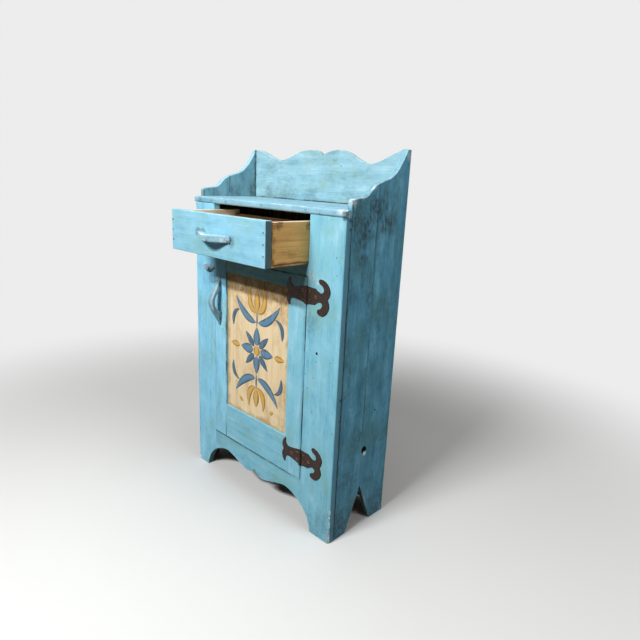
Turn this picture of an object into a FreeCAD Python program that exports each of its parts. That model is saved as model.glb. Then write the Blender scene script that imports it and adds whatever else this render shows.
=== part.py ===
import FreeCAD, Part
import os

# Milk cupboard of nailed and joined pine boards, sizes in millimetres.
# It has two plank sides rising into a scalloped gallery, a face frame on a bracketed foot,
# one drawer drawn part way out, and one panelled door on forged ram's-horn hinges.
# z = 0 is the floor, x runs across the front and y runs from front to back.
# Shapes are drawn with y = 0 on the front of the face frame and are moved once, at the end,
# so that the origin lies under the middle of the whole cupboard at rest.

# Case
CASE_WIDTH = 660.0
CASE_DEPTH = 254.0
BODY_HEIGHT = 938.0
TOP_THICKNESS = 19.0
GALLERY_HEIGHT = 158.0
SIDE_THICKNESS = 17.0
SIDE_SEAM = 102.0
FACE_THICKNESS = 22.0
CREST_THICKNESS = 16.0
BACK_THICKNESS = 12.0
BACK_FLOOR_GAP = 12.0
BACK_PLANKS = 4
PLANK_GAP = 0.6
RABBET_WIDTH = 8.0
TOP_OVERHANG = 3.0
TOP_EDGE_ROUND = 5.0
STILE_EDGE_ROUND = 5.0

# Face frame
LEFT_STILE_WIDTH = 105.0
RIGHT_STILE_WIDTH = 125.0
DRAWER_OPENING = 133.0
RAIL_HEIGHT = 33.0
APRON_TOP = 154.0
FRAME_TENON_LENGTH = 26.0
FRAME_TENON_THICKNESS = 8.0
FRAME_TENON_SHOULDER = 6.0
APRON_TENON_HEIGHT = 34.0

# Scalloped bracket foot, measured up from the floor
ARCH_INTO_STILE = 47.0
ARCH_NOTCH_HEIGHT = 95.0
ARCH_LOBE_HEIGHT = 75.0
ARCH_CROWN_HEIGHT = 102.0
# Shares of the half span and of the rise from the lobe to the crown
ARCH_INNER_CURVE = ((0.045, 0.26), (0.148, 0.0), (0.28, 0.27), (0.44, 0.77), (0.545, 1.0))
# Shares of the half span and of the crown's height, from the crown out to the foot
ARCH_OUTER_CURVE = ((0.545, 1.0), (0.725, 0.90), (0.865, 0.68), (0.965, 0.33), (1.0, 0.0))

# Cut-outs that leave two feet on each side
BOOTJACK_HEIGHT = 140.0
BOOTJACK_WIDTH = 115.0
BOOTJACK_FROM_FRONT = 109.0

# Gallery outlines, as shares of the run and of the gallery's height.
# The crest was sawn by eye, so its halves differ and its notch lies right of the middle.
SIDE_CURVE = ((0.0, 0.146), (0.093, 0.178), (0.26, 0.215), (0.37, 0.345), (0.56, 0.462),
              (0.73, 0.545), (0.87, 0.72), (1.0, 1.0))
CREST_NOTCH = (0.028, 0.88)
CREST_LEFT_CURVE = ((-0.012, 0.958), (-0.13, 0.996), (-0.26, 0.975), (-0.41, 0.873), (-0.585, 0.80),
                    (-0.76, 0.882), (-0.90, 0.974), (-1.0, 0.998))
CREST_RIGHT_CURVE = ((0.085, 0.943), (0.20, 0.993), (0.33, 0.975), (0.48, 0.848), (0.625, 0.752),
                     (0.78, 0.822), (1.0, 1.0))

# Shelves and the strips that carry them
SHELF_THICKNESS = 18.0
LOWER_SHELF_HEIGHT = 206.0
UPPER_SHELF_HEIGHT = 412.0
CLEAT_WIDTH = 20.0
CLEAT_HEIGHT = 24.0
STOP_WIDTH = 22.0
STOP_REACH = 8.0
STOP_THICKNESS = 12.0
SHELF_SETBACK = 2.0

# Drawer and what it slides on
REST_OPENING = 151.0
DRAWER_SIDE_GAP = 1.0
DRAWER_TOP_GAP = 14.0
DRAWER_BACK_GAP = 1.0
RUN_CLEARANCE = 0.4
DRAWER_FRONT_THICKNESS = 21.0
DRAWER_SIDE_THICKNESS = 15.0
DRAWER_BACK_THICKNESS = 11.0
DRAWER_BOTTOM_THICKNESS = 7.0
DRAWER_SIDE_DROP = 4.0
DRAWER_BACK_DROP = 16.0
DRAWER_BACK_INSET = 9.0
DADO_DEPTH = 3.0
RUNNER_HEIGHT = 22.0
RUNNER_REACH = 18.0
GUIDE_WIDTH = 18.0
GUIDE_HEIGHT = 24.0

# Door
DOOR_GAP = 1.5
DOOR_THICKNESS = 21.0
LATCH_STILE_WIDTH = 62.0
HINGE_STILE_WIDTH = 71.0
TOP_RAIL_HEIGHT = 40.0
BOTTOM_RAIL_HEIGHT = 118.0
PANEL_THICKNESS = 8.0
PANEL_SETBACK = 7.0
PANEL_PLAY = 1.0
GROOVE_DEPTH = 9.0
DOOR_TENON_LENGTH = 38.0
DOOR_TENON_THICKNESS = 7.0
DOOR_TENON_SHOULDER = 12.0
JOINT_FIT = 0.15

# Carved bow handles, one upright on the door and one level on the drawer
HANDLE_INSET = 28.0
HANDLE_DROP = 142.0
HANDLE_LENGTH = 161.0
HANDLE_REACH = 40.0
HANDLE_WIDTH = 24.0
HANDLE_TIP_WIDTH = 9.0
HANDLE_GAP_LENGTH = 68.0
HANDLE_GAP_DEPTH = 23.0
PULL_HEIGHT = 57.0
PULL_LENGTH = 148.0
PULL_REACH = 37.0
PULL_WIDTH = 21.0
PULL_TIP_WIDTH = 17.0
PULL_GAP_LENGTH = 76.0
PULL_GAP_DEPTH = 21.0
BOW_TIP_HEIGHT = 4.0
BOW_CHAMFER = 2.0
# Shares of the half length and of the reach, from the middle to the tip
BOW_CURVE = ((0.0, 1.0), (0.22, 0.92), (0.45, 0.68), (0.68, 0.40))
SCREW_RADIUS = 2.0
SCREW_HEAD_RADIUS = 4.0
SCREW_HEAD_HEIGHT = 2.0
SCREW_BITE = 8.0
SCREW_INSET = 21.0

# Ram's-horn hinges, with the leaves nailed on the face of the door and of the stile
LEAF_THICKNESS = 2.5
UPPER_HINGE_DROP = 48.0
LOWER_HINGE_RISE = 75.0
KNUCKLE_RADIUS = 3.8
KNUCKLE_LENGTH = 48.0
KNUCKLE_SHARE = 16.0
KNUCKLE_GAP = 0.4
FACE_CLEARANCE = 0.3
PIN_RADIUS = 1.9
PIN_CLEARANCE = 0.05
PIN_HEAD_RADIUS = 3.0
PIN_HEAD_HEIGHT = 2.0
LEAF_NAIL_NEAR = 13.0
LEAF_NAIL_FAR = 36.0
LEAF_NAIL_RISE = 12.0
# Half outlines of the leaves, as distances out from the pin and up or down from the middle.
# The smith drew the upper horn long and rolled the lower one up short; the two tails mirror each other.
UPPER_HORN_SHOULDER = (34.0, 22.5)
UPPER_HORN_HOLLOW = ((43.0, 16.0), (55.0, 13.5), (63.5, 19.5), (61.5, 30.0), (51.5, 36.0))
UPPER_HORN_TIP = ((46.0, 41.0), (45.0, 46.5), (49.5, 50.5))
UPPER_HORN_BACK = ((63.0, 48.5), (76.5, 40.0), (86.0, 23.0), (83.0, 8.5))
LOWER_HORN_SHOULDER = (33.0, 20.5)
LOWER_HORN_HOLLOW = ((41.0, 14.0), (52.0, 11.5), (59.5, 17.5), (56.0, 26.0))
LOWER_HORN_TIP = ((47.0, 31.0), (42.0, 39.0), (48.0, 46.0))
LOWER_HORN_BACK = ((63.0, 47.0), (78.5, 34.0), (84.5, 19.5), (82.0, 8.0))
HORN_NOTCH = 77.5
TAIL_SHOULDER = (36.0, 16.8)
TAIL_HOLLOW = ((48.0, 15.8), (57.0, 17.0), (62.5, 22.0), (64.5, 30.0))
TAIL_TIP = ((65.0, 37.0), (66.6, 39.6), (69.0, 38.4))
TAIL_BACK = ((75.0, 30.0), (78.5, 18.0), (77.0, 8.0))
TAIL_NOTCH = 73.0

# Turn button on the left stile
BUTTON_LONG_END = 44.0
BUTTON_SHORT_END = 17.0
BUTTON_WIDTH = 24.0
BUTTON_THICKNESS = 13.0
BUTTON_CHAMFER = 3.0
BUTTON_EDGE_GAP = 2.5
BUTTON_DROP = 38.0
BUTTON_SCREW_BITE = 17.0

# Cut nails with square shanks
NAIL_WIDTH = 2.6
NAIL_HEAD_WIDTH = 5.0
NAIL_HEAD_HEIGHT = 0.9
NAIL_FIT = 0.05
FRAME_NAIL_LENGTH = 46.0
FRAME_NAILS = 4
FRAME_NAIL_END = 120.0
DRAWER_NAIL_LENGTH = 42.0
DRAWER_NAILS = 3
DRAWER_NAIL_END = 30.0
HINGE_NAIL_LENGTH = 17.0

# Two points closer than this count as one when edges are picked out
SAME_PLACE = 0.01

# Lines and planes that several pieces share
half_width = CASE_WIDTH / 2
inner = half_width - SIDE_THICKNESS
open_left = -half_width + LEFT_STILE_WIDTH
open_right = half_width - RIGHT_STILE_WIDTH
open_middle = (open_left + open_right) / 2
top_face = BODY_HEIGHT + TOP_THICKNESS
peak = top_face + GALLERY_HEIGHT
slot_floor = BODY_HEIGHT - DRAWER_OPENING
rail_under = slot_floor - RAIL_HEIGHT
crest_front = CASE_DEPTH - CREST_THICKNESS
back_front = CASE_DEPTH - BACK_THICKNESS
seam_y = FACE_THICKNESS + SIDE_SEAM
shelf_front = FACE_THICKNESS + STOP_THICKNESS + SHELF_SETBACK
face_y = (0.0, FACE_THICKNESS)

drawer_left = open_left + DRAWER_SIDE_GAP
drawer_right = open_right - DRAWER_SIDE_GAP
drawer_low = slot_floor + RUN_CLEARANCE
drawer_high = BODY_HEIGHT - DRAWER_TOP_GAP
drawer_end = back_front - DRAWER_BACK_GAP
pull_z = drawer_low + PULL_HEIGHT

door_left = open_left + DOOR_GAP
door_right = open_right - DOOR_GAP
door_low = APRON_TOP + DOOR_GAP
door_high = rail_under - DOOR_GAP
panel_left = door_left + LATCH_STILE_WIDTH
panel_right = door_right - HINGE_STILE_WIDTH
panel_low = door_low + BOTTOM_RAIL_HEIGHT
panel_high = door_high - TOP_RAIL_HEIGHT
handle_x = door_left + HANDLE_INSET
handle_z = door_high - HANDLE_DROP

hinge_x = (door_right + open_right) / 2
hinge_y = -(KNUCKLE_RADIUS + FACE_CLEARANCE)
hinge_heights = {"upper": door_high - UPPER_HINGE_DROP, "lower": door_low + LOWER_HINGE_RISE}

button_x = door_left - BUTTON_EDGE_GAP - BUTTON_SHORT_END
button_z = door_high - BUTTON_DROP

lower_shelf_top = APRON_TOP + LOWER_SHELF_HEIGHT
upper_shelf_top = APRON_TOP + UPPER_SHELF_HEIGHT

# Half way between the drawer pull's outer face at rest and the back of the case
front_y = (REST_OPENING + PULL_REACH - CASE_DEPTH) / 2


# Shape helpers

def vec(x, y, z):
    """Point or direction."""
    return FreeCAD.Vector(x, y, z)


def board(x, y, z):
    """Rectangular board between a low and a high value along each axis."""
    return Part.makeBox(x[1] - x[0], y[1] - y[0], z[1] - z[0], vec(x[0], y[0], z[0]))


def line(a, b):
    """Straight edge."""
    return Part.LineSegment(a, b).toShape()


def arc(a, middle, b):
    """Circular edge through three points."""
    return Part.Arc(a, middle, b).toShape()


def spline(points):
    """Smooth edge through a few points."""
    curve = Part.BSplineCurve()
    curve.interpolate(points)
    return curve.toShape()


def path(points):
    """Straight edges from point to point."""
    return [line(a, b) for a, b in zip(points, points[1:])]


def prism(edges, along):
    """Solid swept from the closed outline of the edges."""
    return Part.Face(Part.Wire(edges)).extrude(along)


def union(shapes):
    """One solid from touching shapes, with no leftover seams."""
    return shapes[0].multiFuse(shapes[1:]).removeSplitter()


def rod(radius, length, base, along):
    """Round bar."""
    return Part.makeCylinder(radius, length, base, along)


# Fasteners

def nail(x, y, z, length, fit=0.0):
    """Cut nail driven backwards from a face at y; fit widens it into its own hole."""
    shank = NAIL_WIDTH / 2 + fit
    return board((x - shank, x + shank), (y, y + length + fit), (z - shank, z + shank))


def headed_nail(x, y, z, length):
    """Cut nail with its flat head standing on the face at y."""
    wide = NAIL_HEAD_WIDTH / 2
    head = board((x - wide, x + wide), (y - NAIL_HEAD_HEIGHT, y), (z - wide, z + wide))
    return union([nail(x, y, z, length), head])


def nail_holes(places, y, length):
    """All the holes of a set of nails."""
    return Part.makeCompound([nail(x, y, z, length, NAIL_FIT) for x, z in places])


def nails(places, y, length):
    """All the nails of a set, as separate solids."""
    return Part.makeCompound([headed_nail(x, y, z, length) for x, z in places])


def spread(low, high, count):
    """Evenly spaced values from low to high."""
    return [low + (high - low) * i / (count - 1) for i in range(count)]


# Where the nails go

frame_nail_places = [(side * (half_width - SIDE_THICKNESS / 2), z)
                     for side in (-1, 1)
                     for z in spread(FRAME_NAIL_END, BODY_HEIGHT - FRAME_NAIL_END, FRAME_NAILS)]
drawer_nail_places = [(x, z)
                      for x in (drawer_left + DRAWER_SIDE_THICKNESS / 2,
                                drawer_right - DRAWER_SIDE_THICKNESS / 2)
                      for z in spread(drawer_low + DRAWER_NAIL_END, drawer_high - DRAWER_NAIL_END,
                                      DRAWER_NAILS)]


def leaf_nail_places(side, z):
    """Nails of one hinge leaf: two beside the knuckle and one further out."""
    near = hinge_x + side * LEAF_NAIL_NEAR
    far = hinge_x + side * LEAF_NAIL_FAR
    return [(near, z - LEAF_NAIL_RISE), (near, z + LEAF_NAIL_RISE), (far, z)]


hinge_nail_places = {side: [place for z in hinge_heights.values() for place in leaf_nail_places(side, z)]
                     for side in (-1, 1)}


# Case

def side_blank(x):
    """One whole side, before it is sawn into its two planks."""
    run = crest_front - FACE_THICKNESS
    gallery = [vec(x, FACE_THICKNESS + run * along, top_face + GALLERY_HEIGHT * rise)
               for along, rise in SIDE_CURVE]
    apex_y = FACE_THICKNESS + BOOTJACK_FROM_FRONT
    foot = [gallery[0], vec(x, FACE_THICKNESS, 0), vec(x, apex_y - BOOTJACK_WIDTH / 2, 0),
            vec(x, apex_y, BOOTJACK_HEIGHT), vec(x, apex_y + BOOTJACK_WIDTH / 2, 0),
            vec(x, CASE_DEPTH, 0), vec(x, CASE_DEPTH, peak), gallery[-1]]
    return prism(path(foot) + [spline(gallery[::-1])], vec(SIDE_THICKNESS, 0, 0))


def side_planks(side):
    """Front and rear plank of one side, with the rear one rabbeted for the back boards."""
    x = inner if side > 0 else -half_width
    blank = side_blank(x)
    across = (x, x + SIDE_THICKNESS)
    rabbet_x = (inner, inner + RABBET_WIDTH) if side > 0 else (-inner - RABBET_WIDTH, -inner)
    rabbet = board(rabbet_x, (back_front, CASE_DEPTH), (0, BODY_HEIGHT))
    holes = nail_holes(frame_nail_places, 0, FRAME_NAIL_LENGTH)
    front = blank.common(board(across, (FACE_THICKNESS, seam_y), (0, peak))).cut(holes)
    rear = blank.common(board(across, (seam_y, CASE_DEPTH), (0, peak))).cut(rabbet)
    return front, rear


def top_board():
    """Top with a full-width front lip; behind the lip it fits between the sides."""
    lip = board((-half_width, half_width), (-TOP_OVERHANG, FACE_THICKNESS), (BODY_HEIGHT, top_face))
    field = board((-inner, inner), (FACE_THICKNESS, crest_front), (BODY_HEIGHT, top_face))
    top = union([lip, field])
    front_edges = [edge for edge in top.Edges
                   if all(abs(v.Y + TOP_OVERHANG) < SAME_PLACE for v in edge.Vertexes)
                   and abs(edge.Vertexes[0].Z - edge.Vertexes[-1].Z) < SAME_PLACE]
    return top.makeFillet(TOP_EDGE_ROUND, front_edges)


def crest_board():
    """Scalloped crest between the sides, standing on the back boards behind the top."""
    def curve(points):
        return [vec(inner * along, crest_front, top_face + GALLERY_HEIGHT * rise)
                for along, rise in (CREST_NOTCH, *points)]
    right = curve(CREST_RIGHT_CURVE)
    left = curve(CREST_LEFT_CURVE)
    base = path([left[-1], vec(-inner, crest_front, BODY_HEIGHT), vec(inner, crest_front, BODY_HEIGHT),
                 right[-1]])
    return prism(base + [spline(right[::-1]), spline(left)], vec(0, CREST_THICKNESS, 0))


def arch_cutter():
    """Space under the scalloped apron and between the two front feet."""
    span = (open_right - open_left) / 2 + ARCH_INTO_STILE
    rise = ARCH_CROWN_HEIGHT - ARCH_LOBE_HEIGHT

    def half(side):
        lobe = [vec(open_middle, 0, ARCH_NOTCH_HEIGHT)]
        lobe += [vec(open_middle + side * span * along, 0, ARCH_LOBE_HEIGHT + rise * share)
                 for along, share in ARCH_INNER_CURVE]
        bracket = [vec(open_middle + side * span * along, 0, ARCH_CROWN_HEIGHT * share)
                   for along, share in ARCH_OUTER_CURVE]
        return lobe + bracket[1:]
    right = half(1)
    left = half(-1)
    return prism([spline(left[::-1]), spline(right), line(right[-1], left[-1])], vec(0, FACE_THICKNESS, 0))


def frame_tenon(shoulder, side, z_low, z_high, fit=0.0):
    """Tenon reaching sideways from a rail's shoulder; fit grows it into its mortise."""
    reach = FRAME_TENON_LENGTH + fit
    across = (shoulder, shoulder + reach) if side > 0 else (shoulder - reach, shoulder)
    thick = FRAME_TENON_THICKNESS / 2 + fit
    middle = FACE_THICKNESS / 2
    return board(across, (middle - thick, middle + thick), (z_low - fit, z_high + fit))


rail_tenon_z = (rail_under + FRAME_TENON_SHOULDER, slot_floor - FRAME_TENON_SHOULDER)
apron_tenon_z = (APRON_TOP - FRAME_TENON_SHOULDER - APRON_TENON_HEIGHT, APRON_TOP - FRAME_TENON_SHOULDER)


def face_stile(side):
    """Upright of the face frame, mortised for the rail and the apron, with its foot sawn to the arch."""
    inner_edge = open_right if side > 0 else open_left
    across = (inner_edge, half_width) if side > 0 else (-half_width, inner_edge)
    stile = board(across, face_y, (0, BODY_HEIGHT))
    outer_arris = [edge for edge in stile.Edges
                   if all(abs(v.X - side * half_width) < SAME_PLACE and abs(v.Y) < SAME_PLACE for v in edge.Vertexes)]
    stile = stile.makeFillet(STILE_EDGE_ROUND, outer_arris)
    mortises = [frame_tenon(inner_edge, side, *rail_tenon_z, JOINT_FIT),
                frame_tenon(inner_edge, side, *apron_tenon_z, JOINT_FIT)]
    stile = stile.cut(Part.makeCompound(mortises)).cut(arch_cutter())
    return stile.cut(nail_holes(frame_nail_places, 0, FRAME_NAIL_LENGTH))


def face_rail(z, tenon_z):
    """Cross piece of the face frame with a tenon at each end."""
    body = board((open_left, open_right), face_y, z)
    return union([body, frame_tenon(open_left, -1, *tenon_z), frame_tenon(open_right, 1, *tenon_z)])


def back_plank(index):
    """One upright board of the back, seated in the side rabbets and behind the shelves."""
    full = 2 * (inner + RABBET_WIDTH)
    pitch = full / BACK_PLANKS
    low = -full / 2 + pitch * index
    gap = PLANK_GAP / 2
    start = low if index == 0 else low + gap
    stop = low + pitch if index == BACK_PLANKS - 1 else low + pitch - gap
    return board((start, stop), (back_front, CASE_DEPTH), (BACK_FLOOR_GAP, BODY_HEIGHT))


def shelf(top, front):
    """Shelf between the sides, resting on its two cleats."""
    return board((-inner, inner), (front, back_front), (top - SHELF_THICKNESS, top))


def cleat(side, shelf_top):
    """Strip across both planks of a side that carries one end of a shelf."""
    across = (inner - CLEAT_WIDTH, inner) if side > 0 else (-inner, -inner + CLEAT_WIDTH)
    under = shelf_top - SHELF_THICKNESS
    return board(across, (FACE_THICKNESS, back_front), (under - CLEAT_HEIGHT, under))


def runner(side):
    """Strip from the rail to the back that one drawer side slides on."""
    edge = open_right if side > 0 else open_left
    across = sorted((edge + side * GUIDE_WIDTH, edge - side * RUNNER_REACH))
    return board(across, (FACE_THICKNESS, back_front), (slot_floor - RUNNER_HEIGHT, slot_floor))


def guide(side):
    """Strip on a runner that keeps the drawer straight."""
    edge = open_right if side > 0 else open_left
    across = sorted((edge + side * GUIDE_WIDTH, edge))
    return board(across, (FACE_THICKNESS, back_front), (slot_floor, slot_floor + GUIDE_HEIGHT))


def door_stop():
    """Strip behind the left stile that the closed door rests against."""
    across = (open_left - STOP_WIDTH + STOP_REACH, open_left + STOP_REACH)
    return board(across, (FACE_THICKNESS, FACE_THICKNESS + STOP_THICKNESS), (APRON_TOP, rail_under))


# Carved bow handles

def bow(length, reach, width, tip_width, gap_length, gap_depth):
    """Whittled bow handle along x with its pads on y = 0 and its middle standing out towards -y."""
    half = length / 2
    outer = [vec(half * along, -reach * rise, -width) for along, rise in BOW_CURVE]
    outer.append(vec(half, -BOW_TIP_HEIGHT, -width))
    mirrored = [vec(-p.x, p.y, p.z) for p in outer[:0:-1]]
    tip = vec(half, 0, -width)
    root = vec(gap_length / 2, 0, -width)
    crown = vec(0, -gap_depth, -width)
    far_root = vec(-gap_length / 2, 0, -width)
    far_tip = vec(-half, 0, -width)
    profile = [spline(mirrored + outer), line(outer[-1], tip), line(tip, root), arc(root, crown, far_root),
               line(far_root, far_tip), line(far_tip, mirrored[0])]
    tall = prism(profile, vec(0, 0, 2 * width))
    ends = tip_width / 2
    plan = [arc(vec(-half, 0, ends), vec(0, 0, width / 2), vec(half, 0, ends)),
            line(vec(half, 0, ends), vec(half, 0, -ends)),
            arc(vec(half, 0, -ends), vec(0, 0, -width / 2), vec(-half, 0, -ends)),
            line(vec(-half, 0, -ends), vec(-half, 0, ends))]
    carved = tall.common(prism(plan, vec(0, -reach, 0))).Solids[0]
    long_edges = [edge for edge in carved.Edges
                  if edge.Length > half and all(v.Y < SAME_PLACE - BOW_TIP_HEIGHT for v in edge.Vertexes)]
    return carved.makeChamfer(BOW_CHAMFER, long_edges)


def upright(shape, x, z):
    """A bow stood upright at a place on the face."""
    turned = shape.copy()
    turned.rotate(vec(0, 0, 0), vec(0, 1, 0), 90)
    turned.translate(vec(x, 0, z))
    return turned


def level(shape, x, z):
    """A bow laid level at a place on the face."""
    moved = shape.copy()
    moved.translate(vec(x, 0, z))
    return moved


def bow_screw(x, z, wall, fit=0.0):
    """Screw from behind a board of the given thickness into a bow's pad; fit makes it a hole."""
    shank = rod(SCREW_RADIUS + fit, wall + SCREW_BITE + fit, vec(x, wall, z), vec(0, -1, 0))
    if fit:
        return shank
    head = rod(SCREW_HEAD_RADIUS, SCREW_HEAD_HEIGHT, vec(x, wall, z), vec(0, 1, 0))
    return union([shank, head])


handle_screw_places = [(handle_x, handle_z + side * (HANDLE_LENGTH / 2 - SCREW_INSET)) for side in (-1, 1)]
pull_screw_places = [(open_middle + side * (PULL_LENGTH / 2 - SCREW_INSET), pull_z) for side in (-1, 1)]


def screws(places, wall):
    """All the screws of one handle, as separate solids."""
    return Part.makeCompound([bow_screw(x, z, wall) for x, z in places])


def screw_holes(places, wall):
    """All the holes of one handle's screws."""
    return Part.makeCompound([bow_screw(x, z, wall, JOINT_FIT) for x, z in places])


# Drawer, drawn closed and moved out to its rest place at the end

def drawer_front():
    """Front board, nailed to the sides and bored for the pull's screws."""
    front = board((drawer_left, drawer_right), (0, DRAWER_FRONT_THICKNESS), (drawer_low, drawer_high))
    front = front.cut(nail_holes(drawer_nail_places, 0, DRAWER_NAIL_LENGTH))
    return front.cut(screw_holes(pull_screw_places, DRAWER_FRONT_THICKNESS))


box_low = drawer_low + DRAWER_BOTTOM_THICKNESS
back_y = (drawer_end - DRAWER_BACK_INSET - DRAWER_BACK_THICKNESS, drawer_end - DRAWER_BACK_INSET)
back_z = (box_low, drawer_high - DRAWER_BACK_DROP)
back_x = (drawer_left + DRAWER_SIDE_THICKNESS - DADO_DEPTH, drawer_right - DRAWER_SIDE_THICKNESS + DADO_DEPTH)


def drawer_side(side):
    """Side with a dado near its end for the drawer's back."""
    across = ((drawer_right - DRAWER_SIDE_THICKNESS, drawer_right) if side > 0
              else (drawer_left, drawer_left + DRAWER_SIDE_THICKNESS))
    plank = board(across, (DRAWER_FRONT_THICKNESS, drawer_end), (box_low, drawer_high - DRAWER_SIDE_DROP))
    dado = board(back_x, back_y, (box_low, drawer_high))
    return plank.cut(dado).cut(nail_holes(drawer_nail_places, 0, DRAWER_NAIL_LENGTH))


def drawer_bottom():
    """Thin bottom board nailed under the sides and the back."""
    return board((drawer_left, drawer_right), (DRAWER_FRONT_THICKNESS, drawer_end), (drawer_low, box_low))


def drawer_pull():
    """Level bow on the drawer front."""
    shape = bow(PULL_LENGTH, PULL_REACH, PULL_WIDTH, PULL_TIP_WIDTH, PULL_GAP_LENGTH, PULL_GAP_DEPTH)
    return level(shape, open_middle, pull_z).cut(screw_holes(pull_screw_places, DRAWER_FRONT_THICKNESS))


# Door

def door_tenon(shoulder, side, z_low, z_high, fit=0.0):
    """Blind tenon of a door rail; fit grows it into its mortise."""
    reach = DOOR_TENON_LENGTH + fit
    across = (shoulder, shoulder + reach) if side > 0 else (shoulder - reach, shoulder)
    middle = PANEL_SETBACK + PANEL_THICKNESS / 2
    thick = DOOR_TENON_THICKNESS / 2 + fit
    return board(across, (middle - thick, middle + thick), (z_low - fit, z_high + fit))


door_tenons = ((door_low + DOOR_TENON_SHOULDER, panel_low - DOOR_TENON_SHOULDER),
               (panel_high + GROOVE_DEPTH + JOINT_FIT, door_high - DOOR_TENON_SHOULDER))
groove_y = (PANEL_SETBACK - JOINT_FIT, PANEL_SETBACK + PANEL_THICKNESS + JOINT_FIT)
door_y = (0.0, DOOR_THICKNESS)


def panel_groove():
    """Groove run round the frame for the panel's edges."""
    return board((panel_left - GROOVE_DEPTH, panel_right + GROOVE_DEPTH), groove_y,
                 (panel_low - GROOVE_DEPTH, panel_high + GROOVE_DEPTH))


def door_stile(side):
    """Upright of the door, grooved for the panel and mortised for both rails."""
    across = (panel_right, door_right) if side > 0 else (door_left, panel_left)
    shoulder = panel_right if side > 0 else panel_left
    stile = board(across, door_y, (door_low, door_high)).cut(panel_groove())
    mortises = [door_tenon(shoulder, side, low, high, JOINT_FIT) for low, high in door_tenons]
    stile = stile.cut(Part.makeCompound(mortises))
    if side > 0:
        return stile.cut(nail_holes(hinge_nail_places[-1], -LEAF_THICKNESS, HINGE_NAIL_LENGTH))
    return stile.cut(screw_holes(handle_screw_places, DOOR_THICKNESS))


def door_rail(z, tenon_z):
    """Cross piece of the door with a groove for the panel and a tenon at each end."""
    body = board((panel_left, panel_right), door_y, z).cut(panel_groove())
    rail = union([body, door_tenon(panel_left, -1, *tenon_z), door_tenon(panel_right, 1, *tenon_z)])
    return rail.cut(nail_holes(hinge_nail_places[-1], -LEAF_THICKNESS, HINGE_NAIL_LENGTH))


def door_panel():
    """Flat panel that floats in the grooves."""
    grow = GROOVE_DEPTH - PANEL_PLAY
    return board((panel_left - grow, panel_right + grow), (PANEL_SETBACK, PANEL_SETBACK + PANEL_THICKNESS),
                 (panel_low - grow, panel_high + grow))


def door_handle():
    """Upright bow on the door's left stile."""
    shape = bow(HANDLE_LENGTH, HANDLE_REACH, HANDLE_WIDTH, HANDLE_TIP_WIDTH, HANDLE_GAP_LENGTH, HANDLE_GAP_DEPTH)
    return upright(shape, handle_x, handle_z).cut(screw_holes(handle_screw_places, DOOR_THICKNESS))


# Hinges

def leaf_half(side, up, z, shoulder, hollow, tip, back, notch):
    """Edges of one half of a leaf, from beside the knuckle round its curled end to the notch."""
    def place(point):
        return vec(hinge_x + side * point[0], 0, z + up * point[1])
    corner = place((KNUCKLE_RADIUS + KNUCKLE_GAP, KNUCKLE_LENGTH / 2))
    inside = [place(point) for point in (shoulder, *hollow, tip[0])]
    outside = [place(point) for point in (tip[2], *back, (notch, 0))]
    end = arc(inside[-1], place(tip[1]), outside[0])
    return [line(corner, inside[0]), spline(inside), end, spline(outside)]


def leaf_plate(side, z):
    """Flat forged plate: thick ram's horns on the stile, side 1, or thin tails on the door, side -1."""
    tail = (TAIL_SHOULDER, TAIL_HOLLOW, TAIL_TIP, TAIL_BACK, TAIL_NOTCH)
    upper_horn = (UPPER_HORN_SHOULDER, UPPER_HORN_HOLLOW, UPPER_HORN_TIP, UPPER_HORN_BACK, HORN_NOTCH)
    lower_horn = (LOWER_HORN_SHOULDER, LOWER_HORN_HOLLOW, LOWER_HORN_TIP, LOWER_HORN_BACK, HORN_NOTCH)
    upper = leaf_half(side, 1, z, *(upper_horn if side > 0 else tail))
    lower = leaf_half(side, -1, z, *(lower_horn if side > 0 else tail))
    joint = line(lower[0].Vertexes[0].Point, upper[0].Vertexes[0].Point)
    return prism([joint] + upper + lower[::-1], vec(0, -LEAF_THICKNESS, 0))


def knuckle(side, z_low, z_high):
    """Rolled barrel with the tongue that ties it to its leaf."""
    barrel = rod(KNUCKLE_RADIUS, z_high - z_low, vec(hinge_x, hinge_y, z_low), vec(0, 0, 1))
    across = sorted((hinge_x, hinge_x + side * (KNUCKLE_RADIUS + KNUCKLE_GAP)))
    return [barrel, board(across, (-LEAF_THICKNESS - FACE_CLEARANCE, -FACE_CLEARANCE), (z_low, z_high))]


def hinge_leaf(side, z):
    """Leaf with its knuckles: the stile's leaf has the outer two and the door's has the middle one."""
    reach = KNUCKLE_LENGTH / 2
    share = KNUCKLE_SHARE / 2
    pieces = [leaf_plate(side, z)]
    if side > 0:
        pieces += knuckle(side, z + share + KNUCKLE_GAP, z + reach)
        pieces += knuckle(side, z - reach, z - share - KNUCKLE_GAP)
    else:
        pieces += knuckle(side, z - share, z + share)
    bore = rod(PIN_RADIUS + PIN_CLEARANCE, 2 * reach, vec(hinge_x, hinge_y, z - reach), vec(0, 0, 1))
    holes = nail_holes(leaf_nail_places(side, z), -LEAF_THICKNESS, HINGE_NAIL_LENGTH)
    return union(pieces).cut(bore).cut(holes)


def hinge_pin(z):
    """Loose pin with a small head on the top knuckle."""
    reach = KNUCKLE_LENGTH / 2
    shaft = rod(PIN_RADIUS, 2 * reach, vec(hinge_x, hinge_y, z - reach), vec(0, 0, 1))
    head = rod(PIN_HEAD_RADIUS, PIN_HEAD_HEIGHT, vec(hinge_x, hinge_y, z + reach), vec(0, 0, 1))
    return union([shaft, head])


# Turn button, at rest pointing away from the door

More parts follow.
